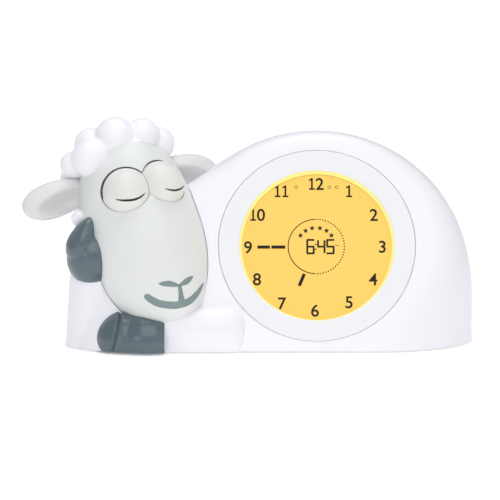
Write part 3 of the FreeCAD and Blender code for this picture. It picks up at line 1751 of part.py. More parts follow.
def eye_gear():
    """A toothed sector on the eyes' shaft: its teeth reach back between the bracket's arms."""
    module = size("gear_module")
    teeth = int(size("gear_teeth"))
    pitch_radius = module * teeth / 2
    tip_radius = pitch_radius + size("gear_addendum")
    root_radius = pitch_radius - size("pinion_addendum") - size("root_clearance")
    thick = size("gear_thick")
    pitch = 360 / teeth
    # Angles in the gear's own plane: 90 points straight back, at the pinion
    first, last = size("gear_first"), size("gear_last")
    one = tooth(pitch_radius, teeth, tip_radius, root_radius, thick)
    solids = []
    for index in range(teeth):
        angle = 90 + (index + 0.5) * pitch
        if angle > 270:
            angle -= 360
        if first + pitch / 2 < angle < last - pitch / 2:
            solids.append(turned_tooth(one, angle))
    rim = Part.makeCylinder(root_radius, thick, Vector(0, 0, 0), Z_AXIS, last - first)
    rim = rim.cut(Part.makeCylinder(root_radius - size("gear_arm") / 2, thick))
    rim.rotate(Vector(0, 0, 0), Z_AXIS, first)
    for angle in (first, last):
        arm = Part.makeBox(root_radius - 1, size("gear_arm"), thick, Vector(0, -size("gear_arm"), 0))
        if angle == first:
            arm.translate(Vector(0, size("gear_arm"), 0))
        arm.rotate(Vector(0, 0, 0), Z_AXIS, angle)
        solids.append(arm)
    hub_reach = size("bearing_x") - size("eye_gap")
    hub_radius = size("eye_hub_radius") - size("stop_gap")
    hub = Part.makeCylinder(hub_radius, 2 * hub_reach, Vector(0, 0, thick / 2 - hub_reach))
    bore = Part.makeCylinder(size("shaft_radius"), 4 * hub_reach, Vector(0, 0, thick / 2 - 2 * hub_reach))
    whole = rim.fuse(solids + [hub]).removeSplitter().cut(bore)
    gear = doc.addObject("Part::Feature", "gear_solid")
    gear.Shape = whole
    gear.Placement = EYES.multiply(frame_at(-thick / 2, 0, 0, turned(90, Y_AXIS)))
    return node(gear, "eye_gear")


def motor_pinion():
    module = size("gear_module")
    teeth = int(size("pinion_teeth"))
    pitch_radius = module * teeth / 2
    tip_radius = pitch_radius + size("pinion_addendum")
    root_radius = pitch_radius - size("gear_addendum") - size("root_clearance")
    thick = size("gear_thick") + 2 * size("stop_gap")
    one = tooth(pitch_radius, teeth, tip_radius, root_radius, thick)
    solids = [turned_tooth(one, 270 + 360 * index / teeth) for index in range(teeth)]
    disc = Part.makeCylinder(root_radius, thick)
    bore = Part.makeCylinder(size("motor_shaft_radius"), thick)
    whole = disc.fuse(solids).removeSplitter().cut(bore)
    pinion = doc.addObject("Part::Feature", "pinion_solid")
    pinion.Shape = whole
    pinion.Placement = EYES.multiply(frame_at(-thick / 2, val(PINION_DISTANCE), 0, turned(90, Y_AXIS)))
    return node(pinion, "motor_pinion")


def motor_face_x():
    return "(size.bearing_x + size.bearing_thick)"


def motor_shaft():
    start = "-(size.gear_thick / 2 + size.stop_gap)"
    end = motor_face_x() + " + size.motor_length / 2"
    shaft = cross_rod(EYES, PINION_DISTANCE, "0", start, end, "size.motor_shaft_radius", "shaft")
    return node(shaft, "motor_shaft")


def eye_motor():
    x0 = motor_face_x()
    x1 = x0 + " + size.motor_length"
    can = cross_rod(EYES, PINION_DISTANCE, "0", x0, x1, "size.motor_radius", "motor_can")
    cap_end = x1 + " + size.motor_cap"
    cap = cross_rod(EYES, PINION_DISTANCE, "0", x1, cap_end, "size.motor_cap_radius", "motor_cap")
    radius = "size.motor_shaft_radius + size.shaft_gap"
    bore_end = x0 + " + size.motor_length / 2 + size.shaft_gap"
    before = x0 + " - size.motor_cap"
    bore = cross_rod(EYES, PINION_DISTANCE, "0", before, bore_end, radius, "motor_bore")
    near = PINION_DISTANCE + " - 2 * size.motor_radius"
    far = PINION_DISTANCE + " + 2 * size.motor_radius"
    flats = []
    for side in (-1, 1):
        z0 = "%d * size.motor_flat" % side
        z1 = "%d * 2 * size.motor_flat" % side
        low, high = (z1, z0) if side < 0 else (z0, z1)
        flats.append(box(EYES, before, x1 + " - size.motor_cap", near, far, low, high, "can_flat"))
    whole = fused([can, cap], "motor_solid")
    return node(cut(whole, fused([bore] + flats, "motor_cuts"), "motor"), "eye_motor")


def eye_bracket():
    """A fork of two arms that carries the eyes' shaft and the motor, on a plate across the head."""
    back_y = "(size.bracket_back_y - size.eye_y)"
    tall = "0.4 * size.bearing_height"
    root = "(size.motor_radius + size.bracket_arm_edge)"
    stand = "(size.eye_radius + size.eye_gap)"
    front = "-(size.shaft_radius + size.bearing_thick)"
    solids = []
    for side in (-1, 1):
        x0 = "%d * size.bearing_x" % side
        x1 = "%d * %s" % (side, motor_face_x())
        low, high = (x1, x0) if side < 0 else (x0, x1)
        solids.append(box(EYES, low, high, front, stand + " + size.bearing_thick", "-" + tall, tall, "arm"))
        solids.append(box(EYES, low, high, stand, back_y, "-" + root, root, "arm_root"))
    half = "size.bracket_half_width"
    z0 = "(size.bracket_low - size.eye_z)"
    z1 = "(size.bracket_high - size.eye_z)"
    plate_y = back_y + " + size.bracket_thick"
    solids.append(box(EYES, "-" + half, half, back_y, plate_y, z0, z1, "bracket_plate"))
    reach = "2 * %s" % motor_face_x()
    bearing = "size.shaft_radius + size.shaft_gap"
    way = "2 * size.motor_shaft_radius"
    tools = [
        cross_rod(EYES, "0", "0", "-" + reach, reach, bearing, "bearing_bore"),
        cross_rod(EYES, PINION_DISTANCE, "0", "-" + reach, reach, way, "motor_shaft_way"),
    ]
    start = "size.bracket_back_y - size.bracket_thick"
    end = "size.bracket_back_y + size.post_pilot"
    for x in bracket_screw_places():
        radius = "size.screw_radius + size.pilot_gap"
        tools.append(rod(HEAD, x, "size.eye_z", start, end, radius, "bracket_hole"))
    return node(cut(fused(solids, "bracket_solid"), fused(tools, "bracket_cuts"), "bracket"), "eye_bracket")


def head_screws():
    screws = []
    seat = "size.bracket_back_y"
    for x in bracket_screw_places():
        tip = seat + " + size.post_screw"
        shank = rod(HEAD, x, "size.eye_z", seat, tip, "size.screw_radius", "head_shank")
        top_y = seat + " - size.screw_head_thick"
        top = rod(HEAD, x, "size.eye_z", top_y, seat, "size.screw_head_radius", "head_top")
        screws.append(fused([shank, top], "head_screw"))
    return group("head_screws", screws)


def neck_tube():
    """A hollow stud that joins the head to the housing and lets the motor's leads through."""
    start = "size.head_half_depth - size.neck_reach"
    end = "size.head_half_depth + size.neck_reach"
    tube = neck_rod(start, end, "size.neck_radius", "tube")
    collar = neck_rod(start, "size.head_half_depth", "size.neck_radius + size.neck_collar", "collar")
    inside = common(collar, head_egg("-size.wall - size.pilot_gap", "neck_egg"), "collar_inside")
    bore = neck_rod("0", FAR, "size.neck_radius - size.neck_wall", "neck_bore")
    return node(cut(fused([tube, inside], "tube_solid"), bore, "neck"), "neck_tube")


def neck_nut():
    back = "size.head_half_depth"
    ring_radius = "size.neck_radius + size.neck_nut_wall"
    ring = neck_rod(back, back + " + size.neck_nut_height", ring_radius, "nut_ring")
    bore = neck_rod("0", FAR, "size.neck_radius", "nut_bore")
    seated = cut(ring, head_egg("size.head_gap + size.wall", "nut_egg"), "nut_seated")
    return node(cut(seated, bore, "nut"), "neck_nut")


BUTTONS = (
    "time_button",
    "alarm_button",
    "minus_button",
    "plus_button",
    "sound_button",
    "light_button",
)

front_shell()
rear_shell()
housing_screws()
rubber_feet()
dial_bezel()
light_ring()
round_plate("lcd_panel", "size.lcd_radius", "size.dial_depth", lcd_back())
round_plate("light_guide", "size.lcd_radius", lcd_back(), guide_back())
display_frame()
light_board()
light_leds()
main_board()
board_chips()
ribbon_cable()
for index, label in enumerate(BUTTONS):
    rear_button(index, label)
tact_switches()
keypad_board()
battery_box()
batteries()
battery_contacts()
battery_door()
door_screw()
speaker_frame()
speaker_cone()
speaker_magnet()
switch_knob()
switch_body()
power_inlet()
inlet_pin()
face_shell()
wool_cap()
wool_curls()
ear(-1, "ear_left")
ear(1, "ear_right")
hoof_floor()
hoof_cheek()
eye(-1, "eye_left")
eye(1, "eye_right")
eye_shaft()
eye_gear()
motor_pinion()
motor_shaft()
eye_motor()
eye_bracket()
head_screws()
neck_tube()
neck_nut()

# Checks, then one file for each piece

doc.recompute()
faults = []
for obj in doc.Objects:
    if "Invalid" in obj.State or "Error" in obj.State:
        faults.append("%s (%s) failed" % (obj.Name, obj.Label))
for part in parts:
    if part.Shape.isNull() or not part.Shape.isValid():
        faults.append("%s has no valid shape" % part.Label)
if faults:
    raise RuntimeError("; ".join(faults))

os.makedirs("parts", exist_ok=True)
for part in parts:
    part.Shape.exportStep("parts/%s.step" % part.Label)
    print(part.Label, len(part.Shape.Solids), round(part.Shape.Volume, 1))
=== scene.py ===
import math

import bmesh
import bpy
from mathutils import Matrix, Vector


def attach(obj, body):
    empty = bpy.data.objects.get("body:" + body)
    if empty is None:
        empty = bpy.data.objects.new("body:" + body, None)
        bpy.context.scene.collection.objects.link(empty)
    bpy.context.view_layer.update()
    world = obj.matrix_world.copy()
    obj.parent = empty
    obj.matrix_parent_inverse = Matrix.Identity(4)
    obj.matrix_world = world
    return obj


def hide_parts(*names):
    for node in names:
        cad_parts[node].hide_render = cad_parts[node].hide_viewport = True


# Looks of the kids alarm clock with night light. Lengths are in millimetres, and MM turns them to
# metres. +X is the viewer's right, +Y goes to the clock's back, +Z is up.

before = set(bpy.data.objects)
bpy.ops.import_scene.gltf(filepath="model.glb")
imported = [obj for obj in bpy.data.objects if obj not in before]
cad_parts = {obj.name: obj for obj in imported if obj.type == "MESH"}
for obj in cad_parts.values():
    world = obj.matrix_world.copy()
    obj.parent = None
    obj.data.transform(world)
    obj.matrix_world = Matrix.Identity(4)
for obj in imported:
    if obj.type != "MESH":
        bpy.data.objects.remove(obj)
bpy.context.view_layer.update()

MM = 0.001


def turned(angle, axis):
    """A turn by degrees about an axis, as a frame."""
    return Matrix.Rotation(math.radians(angle), 4, axis)


def moved(x, y, z):
    """A move by millimetres, as a frame."""
    return Matrix.Translation(Vector((x, y, z)) * MM)


# Frames that the pieces are built in, as in the solids

FACE_LEAN = 22.5
REAR_LEAN = 5.0
DIAL_X = 41.3
DIAL_HEIGHT = 62.1
BASE_Z = 1.2
FRONT_Y = -38.5
REAR_Y = 47.0
DIAL_Y = FRONT_Y + (DIAL_HEIGHT - BASE_Z) * math.tan(math.radians(FACE_LEAN))
DIAL = moved(DIAL_X, DIAL_Y, DIAL_HEIGHT) @ turned(-FACE_LEAN, "X")
REAR = moved(0, REAR_Y, BASE_Z) @ turned(REAR_LEAN, "X")
HEAD = moved(-64.2, -5.0, 71.0) @ turned(18, "Z") @ turned(-25, "X") @ turned(-9.5, "Y")
EYES = HEAD @ moved(0, -21.5, 18.5)


# Shader maths


def srgb(red, green, blue):
    """A screen colour, 0 to 255, as the linear colour that Blender's sockets take."""
    shares = [channel / 255 for channel in (red, green, blue)]
    linear = [s / 12.92 if s <= 0.04045 else ((s + 0.055) / 1.055) ** 2.4 for s in shares]
    return (*linear, 1.0)


class Signal:
    """A shader socket; Python's operators on it add Math nodes."""

    def __init__(self, finish, socket):
        self.finish = finish
        self.socket = socket

    def _math(self, operation, *values):
        return self.finish.node("ShaderNodeMath", {"operation": operation}, dict(enumerate(values)))

    def __add__(self, other):
        return self._math("ADD", self, other)

    __radd__ = __add__

    def __sub__(self, other):
        return self._math("SUBTRACT", self, other)

    def __rsub__(self, other):
        return self._math("SUBTRACT", other, self)

    def __mul__(self, other):
        return self._math("MULTIPLY", self, other)

    __rmul__ = __mul__

    def root(self):
        return self._math("SQRT", self)

    def below(self, edge, soft):
        """1 where the signal is below the edge, falling to 0 over soft."""
        start, end = edge - soft / 2, edge + soft / 2
        values = {"Value": self, "From Min": start, "From Max": end, "To Min": 1.0, "To Max": 0.0}
        return self.finish.node("ShaderNodeMapRange", {"interpolation_type": "SMOOTHSTEP"}, values)


class Finish:
    """A material on one Principled shader."""

    def __init__(self, name, constants):
        self.material = bpy.data.materials.new(name)
        self.material.use_nodes = True
        self.tree = self.material.node_tree
        self.shader = self.tree.nodes["Principled BSDF"]
        for socket, value in constants.items():
            self.shader.inputs[socket].default_value = value

    def node(self, kind, settings, values, output=0):
        """Adds a node: its settings first, then the values or links of its sockets."""
        node = self.tree.nodes.new(kind)
        for name, value in settings.items():
            setattr(node, name, value)
        for name, value in values.items():
            if isinstance(value, Signal):
                self.tree.links.new(value.socket, node.inputs[name])
            else:
                node.inputs[name].default_value = value
        return Signal(self, node.outputs[output])

    def feed(self, socket, signal):
        self.tree.links.new(signal.socket, self.shader.inputs[socket])

    def place(self, scale=(1, 1, 1), location=(0, 0, 0), rotation=(0, 0, 0)):
        """Object coordinates, with the pattern stretched, moved or turned."""
        coordinates = self.node("ShaderNodeTexCoord", {}, {}, "Object")
        values = {"Vector": coordinates, "Location": location, "Rotation": rotation, "Scale": scale}
        return self.node("ShaderNodeMapping", {"vector_type": "POINT"}, values)

    def axes(self, place):
        """The three coordinates of a place, in metres."""
        parts = self.tree.nodes.new("ShaderNodeSeparateXYZ")
        self.tree.links.new(place.socket, parts.inputs[0])
        return [Signal(self, output) for output in parts.outputs]

    def dial_axes(self):
        """Coordinates across, into and up the leaning dial, from its middle."""
        inward = DIAL.inverted()
        return self.axes(self.place(location=inward.to_translation(), rotation=inward.to_euler()))

    def noise(self, place, scale, detail=2.0, roughness=0.5):
        values = {"Vector": place, "Scale": scale, "Detail": detail, "Roughness": roughness}
        return self.node("ShaderNodeTexNoise", {}, values, "Fac")

    def blended(self, share, first, second):
        """Mixes two colours by a signal."""
        mix = self.tree.nodes.new("ShaderNodeMix")
        mix.data_type = "RGBA"
        self.tree.links.new(share.socket, mix.inputs[0])
        for index, colour in ((6, first), (7, second)):
            if isinstance(colour, Signal):
                self.tree.links.new(colour.socket, mix.inputs[index])
            else:
                mix.inputs[index].default_value = colour
        return Signal(self, mix.outputs[2])

    def relief(self, height, strength, distance):
        """Bumps of a height signal, with the distance in metres."""
        values = {"Height": height, "Strength": strength, "Distance": distance}
        self.feed("Normal", self.node("ShaderNodeBump", {}, values))


def shaded(colour, share):
    """A colour with its three channels taken down to a share."""
    return tuple(channel * share for channel in colour[:3]) + (1.0,)


def moulded(name, colour, roughness, shade=0.93, grain=0.12, coat=0.0):
    """Moulded plastic: a faint cloudiness, an even fine grain and small changes of gloss."""
    finish = Finish(name, {"Coat Weight": coat, "Coat Roughness": 0.12, "Specular IOR Level": 0.45})
    place = finish.place()
    cloud = finish.noise(place, 26.0, 3.0)
    grit = finish.noise(place, 1500.0, 2.0, 0.6)
    finish.feed("Base Color", finish.blended(cloud, colour, shaded(colour, shade)))
    finish.feed("Roughness", roughness - 0.05 + cloud * 0.1 + grit * 0.04)
    finish.relief(grit, grain, 0.00006)
    return finish.material


def brushed(name, colour, roughness, along=(1, 1, 40)):
    """Drawn or brushed metal with fine streaks."""
    finish = Finish(name, {"Metallic": 1.0})
    streaks = finish.noise(finish.place(scale=along), 240.0, 3.0)
    finish.feed("Base Color", finish.blended(streaks, shaded(colour, 0.75), colour))
    finish.feed("Roughness", roughness - 0.08 + streaks * 0.2)
    finish.relief(streaks, 0.1, 0.00004)
    return finish.material


def screen():
    """The back-lit dial: an even yellow glow that falls off a little at the rim."""
    finish = Finish("lcd_glow", {"Roughness": 0.3, "Emission Strength": 0.97})
    across, _, up = finish.dial_axes()
    middle = (across * across + up * up).root().below(0.043, 0.02)
    weave = finish.noise(finish.place(), 3200.0, 1.0)
    warm = finish.blended(middle, srgb(251, 204, 80), srgb(252, 208, 87))
    finish.feed("Base Color", finish.blended(weave, srgb(40, 32, 14), srgb(50, 40, 18)))
    finish.feed("Emission Color", finish.blended(weave * 0.08, warm, srgb(244, 198, 88)))
    finish.relief(weave, 0.03, 0.00003)
    return finish.material


def glow():
    """The light ring round the dial: pale yellow, brightest at the top."""
    finish = Finish("ring_glow", {"Roughness": 0.35, "Emission Strength": 0.95})
    _, inwards, up = finish.dial_axes()
    front = inwards.below(0.0042, 0.0008)
    upper = finish.blended(front, srgb(214, 166, 60), srgb(252, 245, 146))
    tone = finish.blended(up.below(0.0, 0.08), upper, srgb(253, 236, 160))
    cloud = finish.noise(finish.place(), 900.0)
    finish.feed("Base Color", finish.blended(cloud, srgb(50, 46, 28), srgb(64, 58, 34)))
    finish.feed("Emission Color", tone)
    finish.relief(cloud, 0.05, 0.00005)
    return finish.material


def board_finish():
    """Green lacquered board with faint copper tracks."""
    finish = Finish("green_board", {"Roughness": 0.35, "Specular IOR Level": 0.5})
    values = {"Vector": finish.place(), "Scale": 160.0}
    tracks = finish.node("ShaderNodeTexVoronoi", {"feature": "DISTANCE_TO_EDGE"}, values)
    line = tracks.below(0.05, 0.03)
    finish.feed("Base Color", finish.blended(line, srgb(24, 84, 48), srgb(58, 122, 66)))
    finish.feed("Roughness", 0.35 + finish.noise(finish.place(), 90.0) * 0.1)
    finish.relief(line, 0.2, 0.00005)
    return finish.material


def cell_finish():
    """Battery wrap: a green jacket with a dark band at one end."""
    finish = Finish("cell_wrap", {"Metallic": 0.35, "Roughness": 0.32})
    along, _, _ = finish.axes(finish.place())
    band = along.below(0.008, 0.0006)
    wear = finish.noise(finish.place(), 300.0, 4.0)
    jacket = finish.blended(band, srgb(86, 140, 92), srgb(40, 44, 48))
    finish.feed("Base Color", finish.blended(wear * 0.15, jacket, srgb(190, 190, 180)))
    finish.relief(wear, 0.08, 0.00003)
    return finish.material


def ink(name, first, second, gloss=0.3, grain=700.0, roughness=0.5):
    """Print that lies on a piece, a little uneven in colour and gloss."""
    finish = Finish(name, {"Specular IOR Level": gloss})
    spread = finish.noise(finish.place(), grain, 3.0)
    finish.feed("Base Color", finish.blended(spread, first, second))
    finish.feed("Roughness", roughness + spread * 0.1)
    return finish.material


WHITE = moulded("white_housing", srgb(243, 242, 248), 0.34, 0.985)
RING_WHITE = moulded("ring_white", srgb(238, 238, 242), 0.38, 0.985)
FACE_GREY = moulded("face_grey", srgb(229, 231, 230), 0.36, 0.97)
EYE_GREY = moulded("eye_grey", srgb(230, 230, 226), 0.33, 0.97)
EAR_GREY = moulded("ear_grey", srgb(222, 223, 222), 0.4, 0.96)
WOOL_WHITE = moulded("wool_white", srgb(247, 246, 252), 0.36, 0.985)
SLATE = moulded("hoof_slate", srgb(89, 104, 112), 0.26, 0.9, coat=0.35)
KEY_GREY = moulded("button_grey", srgb(150, 158, 166), 0.42)
INNER = moulded("inner_plastic", srgb(206, 206, 202), 0.55)
BLACK = moulded("black_plastic", srgb(30, 31, 34), 0.45)
CLEAR = moulded("milky_guide", srgb(240, 236, 214), 0.2)
GEAR = moulded("gear_nylon", srgb(236, 234, 222), 0.4)
RUBBER = moulded("foot_rubber", srgb(96, 98, 102), 0.75, grain=0.5)
CONE = moulded("speaker_paper", srgb(34, 34, 36), 0.85, grain=0.8)
LED = moulded("led_lens", srgb(255, 226, 140), 0.2)
CABLE = moulded("ribbon_grey", srgb(186, 188, 192), 0.5)
STEEL = brushed("bright_steel", srgb(196, 197, 200), 0.32)
BRASS = brushed("turned_brass", srgb(214, 176, 98), 0.3)
BOARD = board_finish()
MUZZLE_INK = ink("muzzle_print", srgb(124, 140, 140), srgb(134, 150, 150), 0.35, 500.0, 0.45)
LID_INK = ink("lid_line", srgb(38, 42, 44), srgb(50, 54, 56))
DIAL_INK = ink("dial_ink", srgb(24, 14, 8), srgb(34, 22, 12))
REAR_INK = ink("rear_ink", srgb(108, 114, 122), srgb(120, 126, 134))

NODE_FINISHES = {
    "dial_bezel": RING_WHITE,
    "light_ring": glow(),
    "lcd_panel": screen(),
    "light_guide": CLEAR,
    "display_frame": INNER,
    "battery_box": INNER,
    "eye_bracket": INNER,
    "neck_tube": INNER,
    "neck_nut": INNER,
    "light_board": BOARD,
    "main_board": BOARD,
    "keypad_board": BOARD,
    "batteries": cell_finish(),
    "light_leds": LED,
    "board_chips": BLACK,
    "tact_switches": BLACK,
    "switch_body": BLACK,
    "power_inlet": BLACK,
    "ribbon_cable": CABLE,
    "speaker_cone": CONE,
    "rubber_feet": RUBBER,
    "eye_gear": GEAR,
    "motor_pinion": BRASS,
    "front_shell": WHITE,
    "rear_shell": WHITE,
    "battery_door": WHITE,
    "switch_knob": KEY_GREY,
    "face_shell": FACE_GREY,
    "eye_left": EYE_GREY,
    "eye_right": EYE_GREY,
    "ear_left": EAR_GREY,
    "ear_right": EAR_GREY,
    "hoof_floor": SLATE,
    "hoof_cheek": SLATE,
    "wool_cap": WOOL_WHITE,
    "wool_curls": WOOL_WHITE,
}

for name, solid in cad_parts.items():
    chosen = NODE_FINISHES.get(name, KEY_GREY if name.endswith("_button") else STEEL)
    if not solid.material_slots:
        solid.data.materials.append(chosen)
    for slot in solid.material_slots:
        slot.material = chosen


# Making pieces


def new_piece(name, mesh, body, finish, replaced=()):
    """Puts a finished mesh in the scene, on its body, in place of the named nodes."""
    piece = bpy.data.objects.new(name, mesh)
    bpy.context.scene.collection.objects.link(piece)
    mesh.materials.clear()
    mesh.materials.append(finish)
    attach(piece, body)
    if replaced:
        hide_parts(*replaced)


def mesh_of(name, points, faces, smooth=True):
    """A mesh of points in metres and faces."""
    mesh = bpy.data.meshes.new(name)
    mesh.from_pydata([tuple(p) for p in points], [], faces)
    mesh.validate()
    if smooth:
        mesh.shade_smooth()
    return mesh


def built(name, builder):
    """The mesh that a bmesh builder holds, which ends here."""
    mesh = bpy.data.meshes.new(name)
    builder.to_mesh(mesh)
    builder.free()
    return mesh


def softened(mesh, angle):
    """Smooth shading with sharp edges from an angle in degrees."""
    mesh.shade_smooth()
    mesh.set_sharp_from_angle(angle=math.radians(angle))
    return mesh


def bands(rows, around):
    """Quads between rings of points that follow each other."""
    quads = []
    for i in range(rows):
        for k in range(around):
            a, b = i * around + k, i * around + (k + 1) % around
            quads.append((a, b, b + around, a + around))
    return quads


def everything(builder):
    return builder.verts[:] + builder.edges[:] + builder.faces[:]


def evaluated(name, mesh, setters):
    """The mesh after a list of modifiers, each a kind and its settings."""
    holder = bpy.data.objects.new(name, mesh)
    bpy.context.scene.collection.objects.link(holder)
    for kind, settings in setters:
        modifier = holder.modifiers.new(kind.lower(), kind)
        for key, value in settings.items():
            setattr(modifier, key, value)
    bpy.context.view_layer.update()
    graph = bpy.context.evaluated_depsgraph_get()
    result = bpy.data.meshes.new_from_object(holder.evaluated_get(graph))
    bpy.data.objects.remove(holder)
    result.name = name
    return result


def lumps(place, balls, rings=24):
    """Closed rounded forms as one loose mesh: each is a centre and three half sizes, in a frame."""
    builder = bmesh.new()
    for centre, half in balls:
        add_lump(builder, place @ moved(*centre), half, 0.0, rings)
    return built("lumps", builder)


def add_lump(builder, place, half, pointed, rings):
    """An ellipsoid whose upper end narrows as pointed grows."""
    made = bmesh.ops.create_uvsphere(builder, u_segments=2 * rings, v_segments=rings, radius=1)
    for vertex in made["verts"]:
        x, y, z = vertex.co
        narrow = 1 - pointed * z
        vertex.co = place @ (Vector((x * half[0] * narrow, y * half[1] * narrow, z * half[2])) * MM)


def joined(meshes):
    """Several meshes as one loose mesh."""
    builder = bmesh.new()
    for mesh in meshes:
        builder.from_mesh(mesh)
    return built("joined", builder)


def without(name, mesh, cutter):
    """The mesh less another closed mesh."""
    holder = bpy.data.objects.new("cutter", cutter)
    bpy.context.scene.collection.objects.link(holder)
    settings = {"operation": "DIFFERENCE", "solver": "EXACT", "use_self": True, "object": holder}
    result = evaluated(name, mesh, [("BOOLEAN", settings)])
    bpy.data.objects.remove(holder)
    return result


def melted(name, mesh, voxel, passes):
    """Joins overlapping closed forms into one skin with soft creases."""
    setters = [
        ("REMESH", {"mode": "VOXEL", "voxel_size": voxel * MM, "use_smooth_shade": True}),
        ("SMOOTH", {"factor": 0.5, "iterations": passes}),
    ]
    result = evaluated(name, mesh, setters)
    result.shade_smooth()
    return result


# Head form

HALF_HEIGHT = 65.5
HALF_WIDTH = 35.7
HALF_DEPTH = 31.0
RIDGE_RISE = 1.4
CHIN_RISE = 5.0
RISE_BLEND = 8.0
# Shares of the half height, chin to crown, and of the half width there
HEAD_STATIONS = (
    (-1.0, 0.0),
    (-0.93, 0.40),
    (-0.78, 0.68),
    (-0.52, 0.90),
    (-0.22, 1.00),
    (0.08, 0.99),
    (0.38, 0.92),
    (0.65, 0.76),
    (0.86, 0.50),
    (1.0, 0.0),
)


def smooth_row(points, steps, before=None, after=None):
    """Points of a smooth curve through the given ones, of any number of coordinates."""
    points = [Vector(point) for point in points]
    first = Vector(before) if before else 2 * points[0] - points[1]
    last = Vector(after) if after else 2 * points[-1] - points[-2]
    padded = [first] + points + [last]
    row = []
    for a, b, c, d in zip(padded, padded[1:], padded[2:], padded[3:]):
        for step in range(steps):
            t = step / steps
            bend = (2 * a - 5 * b + 4 * c - d) * t**2 + (3 * b - a - 3 * c + d) * t**3
            row.append(0.5 * (2 * b + (c - a) * t + bend))
    row.append(points[-1])
    return row


def head_outline(steps):
    """The head's outline from chin to crown, as shares across and along."""
    stations = [(across, along) for along, across in HEAD_STATIONS]
    before = (-stations[1][0], stations[1][1])
    after = (-stations[-2][0], stations[-2][1])
    return smooth_row(stations, steps, before, after)


OUTLINE = head_outline(14)


def across_at(along):
    """The head's share of its half width at a share of its half height."""
    for low, high in zip(OUTLINE, OUTLINE[1:]):
        if low.y <= along <= high.y:
            return low.x + (high.x - low.x) * (along - low.y) / max(high.y - low.y, 1e-9)
    return 0.0


def bell(value, middle, width):
    """A bell curve: 1 at the middle, falling off over the width."""
    return math.exp(-(((value - middle) / width) ** 2))


def head_surface(x, y, z):
    """Moves a point of the egg to the shaped face: a ridge down the muzzle and a full chin."""
    ridge = RIDGE_RISE * bell(x, 0, 9.0) * bell(z, -18, 24.0)
    chin = CHIN_RISE * bell(x, 4, 22.0) * bell(z, -59, 14.0)
    if y < 0:
        y -= (ridge + chin) * min(-y / RISE_BLEND, 1.0)
    return x, y, z


def egg_mesh(name, grown=0.0, around=112):
    """The head's closed form, larger by grown on every side."""
    points = []
    inner = OUTLINE[1:-1]
    for spot in inner:
        for k in range(around):
            angle = 2 * math.pi * k / around
            x = (HALF_WIDTH * spot.x + grown) * math.sin(angle)
            y = -(HALF_DEPTH * spot.x + grown) * math.cos(angle)
            points.append(HEAD @ (Vector(head_surface(x, y, (HALF_HEIGHT + grown) * spot.y)) * MM))
    faces = bands(len(inner) - 1, around)
    for end, row in ((-1, 0), (1, len(inner) - 1)):
        points.append(HEAD @ (Vector((0, 0, end * (HALF_HEIGHT + grown))) * MM))
        tip = len(points) - 1
        for k in range(around):
            a, b = row * around + k, row * around + (k + 1) % around
            faces.append((a, tip, b) if end < 0 else (a, b, tip))
    return mesh_of(name, points, faces)


EYE_RADIUS = 15.0
EYE_SPREAD = 11.0
EYE_GAP = 0.6
SOCKET_RISE = 0.4
FACE_GROWN = 0.25


def make_face():
    """The grey face with a round socket for each eye."""
    half = [EYE_RADIUS + EYE_GAP] * 3
    sockets = [((side * EYE_SPREAD, 0, SOCKET_RISE), half) for side in (-1, 1)]
    mesh = without("face", egg_mesh("face", FACE_GROWN), lumps(EYES, sockets, 40))
    softened(mesh, 40)
    new_piece("face", mesh, "housing", FACE_GREY, ["face_shell"])


make_face()

# Wool: curls as x, y, z and radius in the head's frame

FRONT_CURLS = (
    (-4.1, -12.0, 56.6, 12.4),
    (12.9, -12.0, 54.3, 10.6),
    (24.0, -4.0, 49.2, 10.6),
    (-16.5, -2.0, 57.5, 10.6),
    (-21.4, -8.8, 47.4, 12.2),
    (-30.0, 1.0, 48.2, 8.6),
    (-31.5, 8.5, 43.0, 6.6),
    (-36.3, 2.0, 15.2, 5.2),
)
BACK_CURLS = (
    (-14.7, 8.0, 50.5, 11.5),
    (13.1, 8.2, 52.0, 11.5),
    (24.0, 8.6, 29.2, 10.6),
    (-27.5, 10.0, 8.9, 9.6),
    (-20.4, 16.9, 25.1, 11.5),
    (-2.8, 22.4, 33.2, 11.5),
    (16.5, 18.9, 28.1, 11.5),
    (-25.8, 13.6, 8.5, 11.5),
    (-11.2, 23.5, 14.7, 11.5),
    (6.2, 24.8, 15.5, 11.5),
)
# Hairline planes as y and z of a point and the lean of the plane's normal
HAIR_PLANES = ((-20.0, 48.0, 69.0), (4.0, 0.0, 0.0))
CROWN_GROWN = 0.5
WOOL_VOXEL = 0.8
WOOL_PASSES = 7


def crown_mesh(y, z, lean):
    """The part of a slightly grown egg that lies beyond one hairline plane."""
    builder = bmesh.new()
    builder.from_mesh(egg_mesh("crown", CROWN_GROWN, 72))
    angle = math.radians(lean)
    normal = (HEAD.to_3x3() @ Vector((0, math.cos(angle), math.sin(angle)))).normalized()
    corner = HEAD @ (Vector((0, y, z)) * MM)
    cut = bmesh.ops.bisect_plane(
        builder, geom=everything(builder), plane_co=corner, plane_no=normal, clear_inner=True
    )
    rim = [part for part in cut["geom_cut"] if isinstance(part, bmesh.types.BMEdge)]
    bmesh.ops.contextual_create(builder, geom=rim)
    return built("crown", builder)


def make_wool():
    """One skin over the crown, the nape and all the curls."""
    balls = [((x, y, z), [radius] * 3) for x, y, z, radius in FRONT_CURLS + BACK_CURLS]
    forms = [crown_mesh(*plane) for plane in HAIR_PLANES] + [lumps(HEAD, balls, 32)]
    mesh = melted("wool", joined(forms), WOOL_VOXEL, WOOL_PASSES)
    new_piece("wool", mesh, "housing", WOOL_WHITE, ["wool_cap", "wool_curls"])


make_wool()

# Ears

EAR_HALF_LENGTH = 21
EAR_HALF_HEIGHT = 11.3
EAR_HALF_THICK = 6.5
EAR_HOLLOW = 9.6
EAR_LEAN = 8


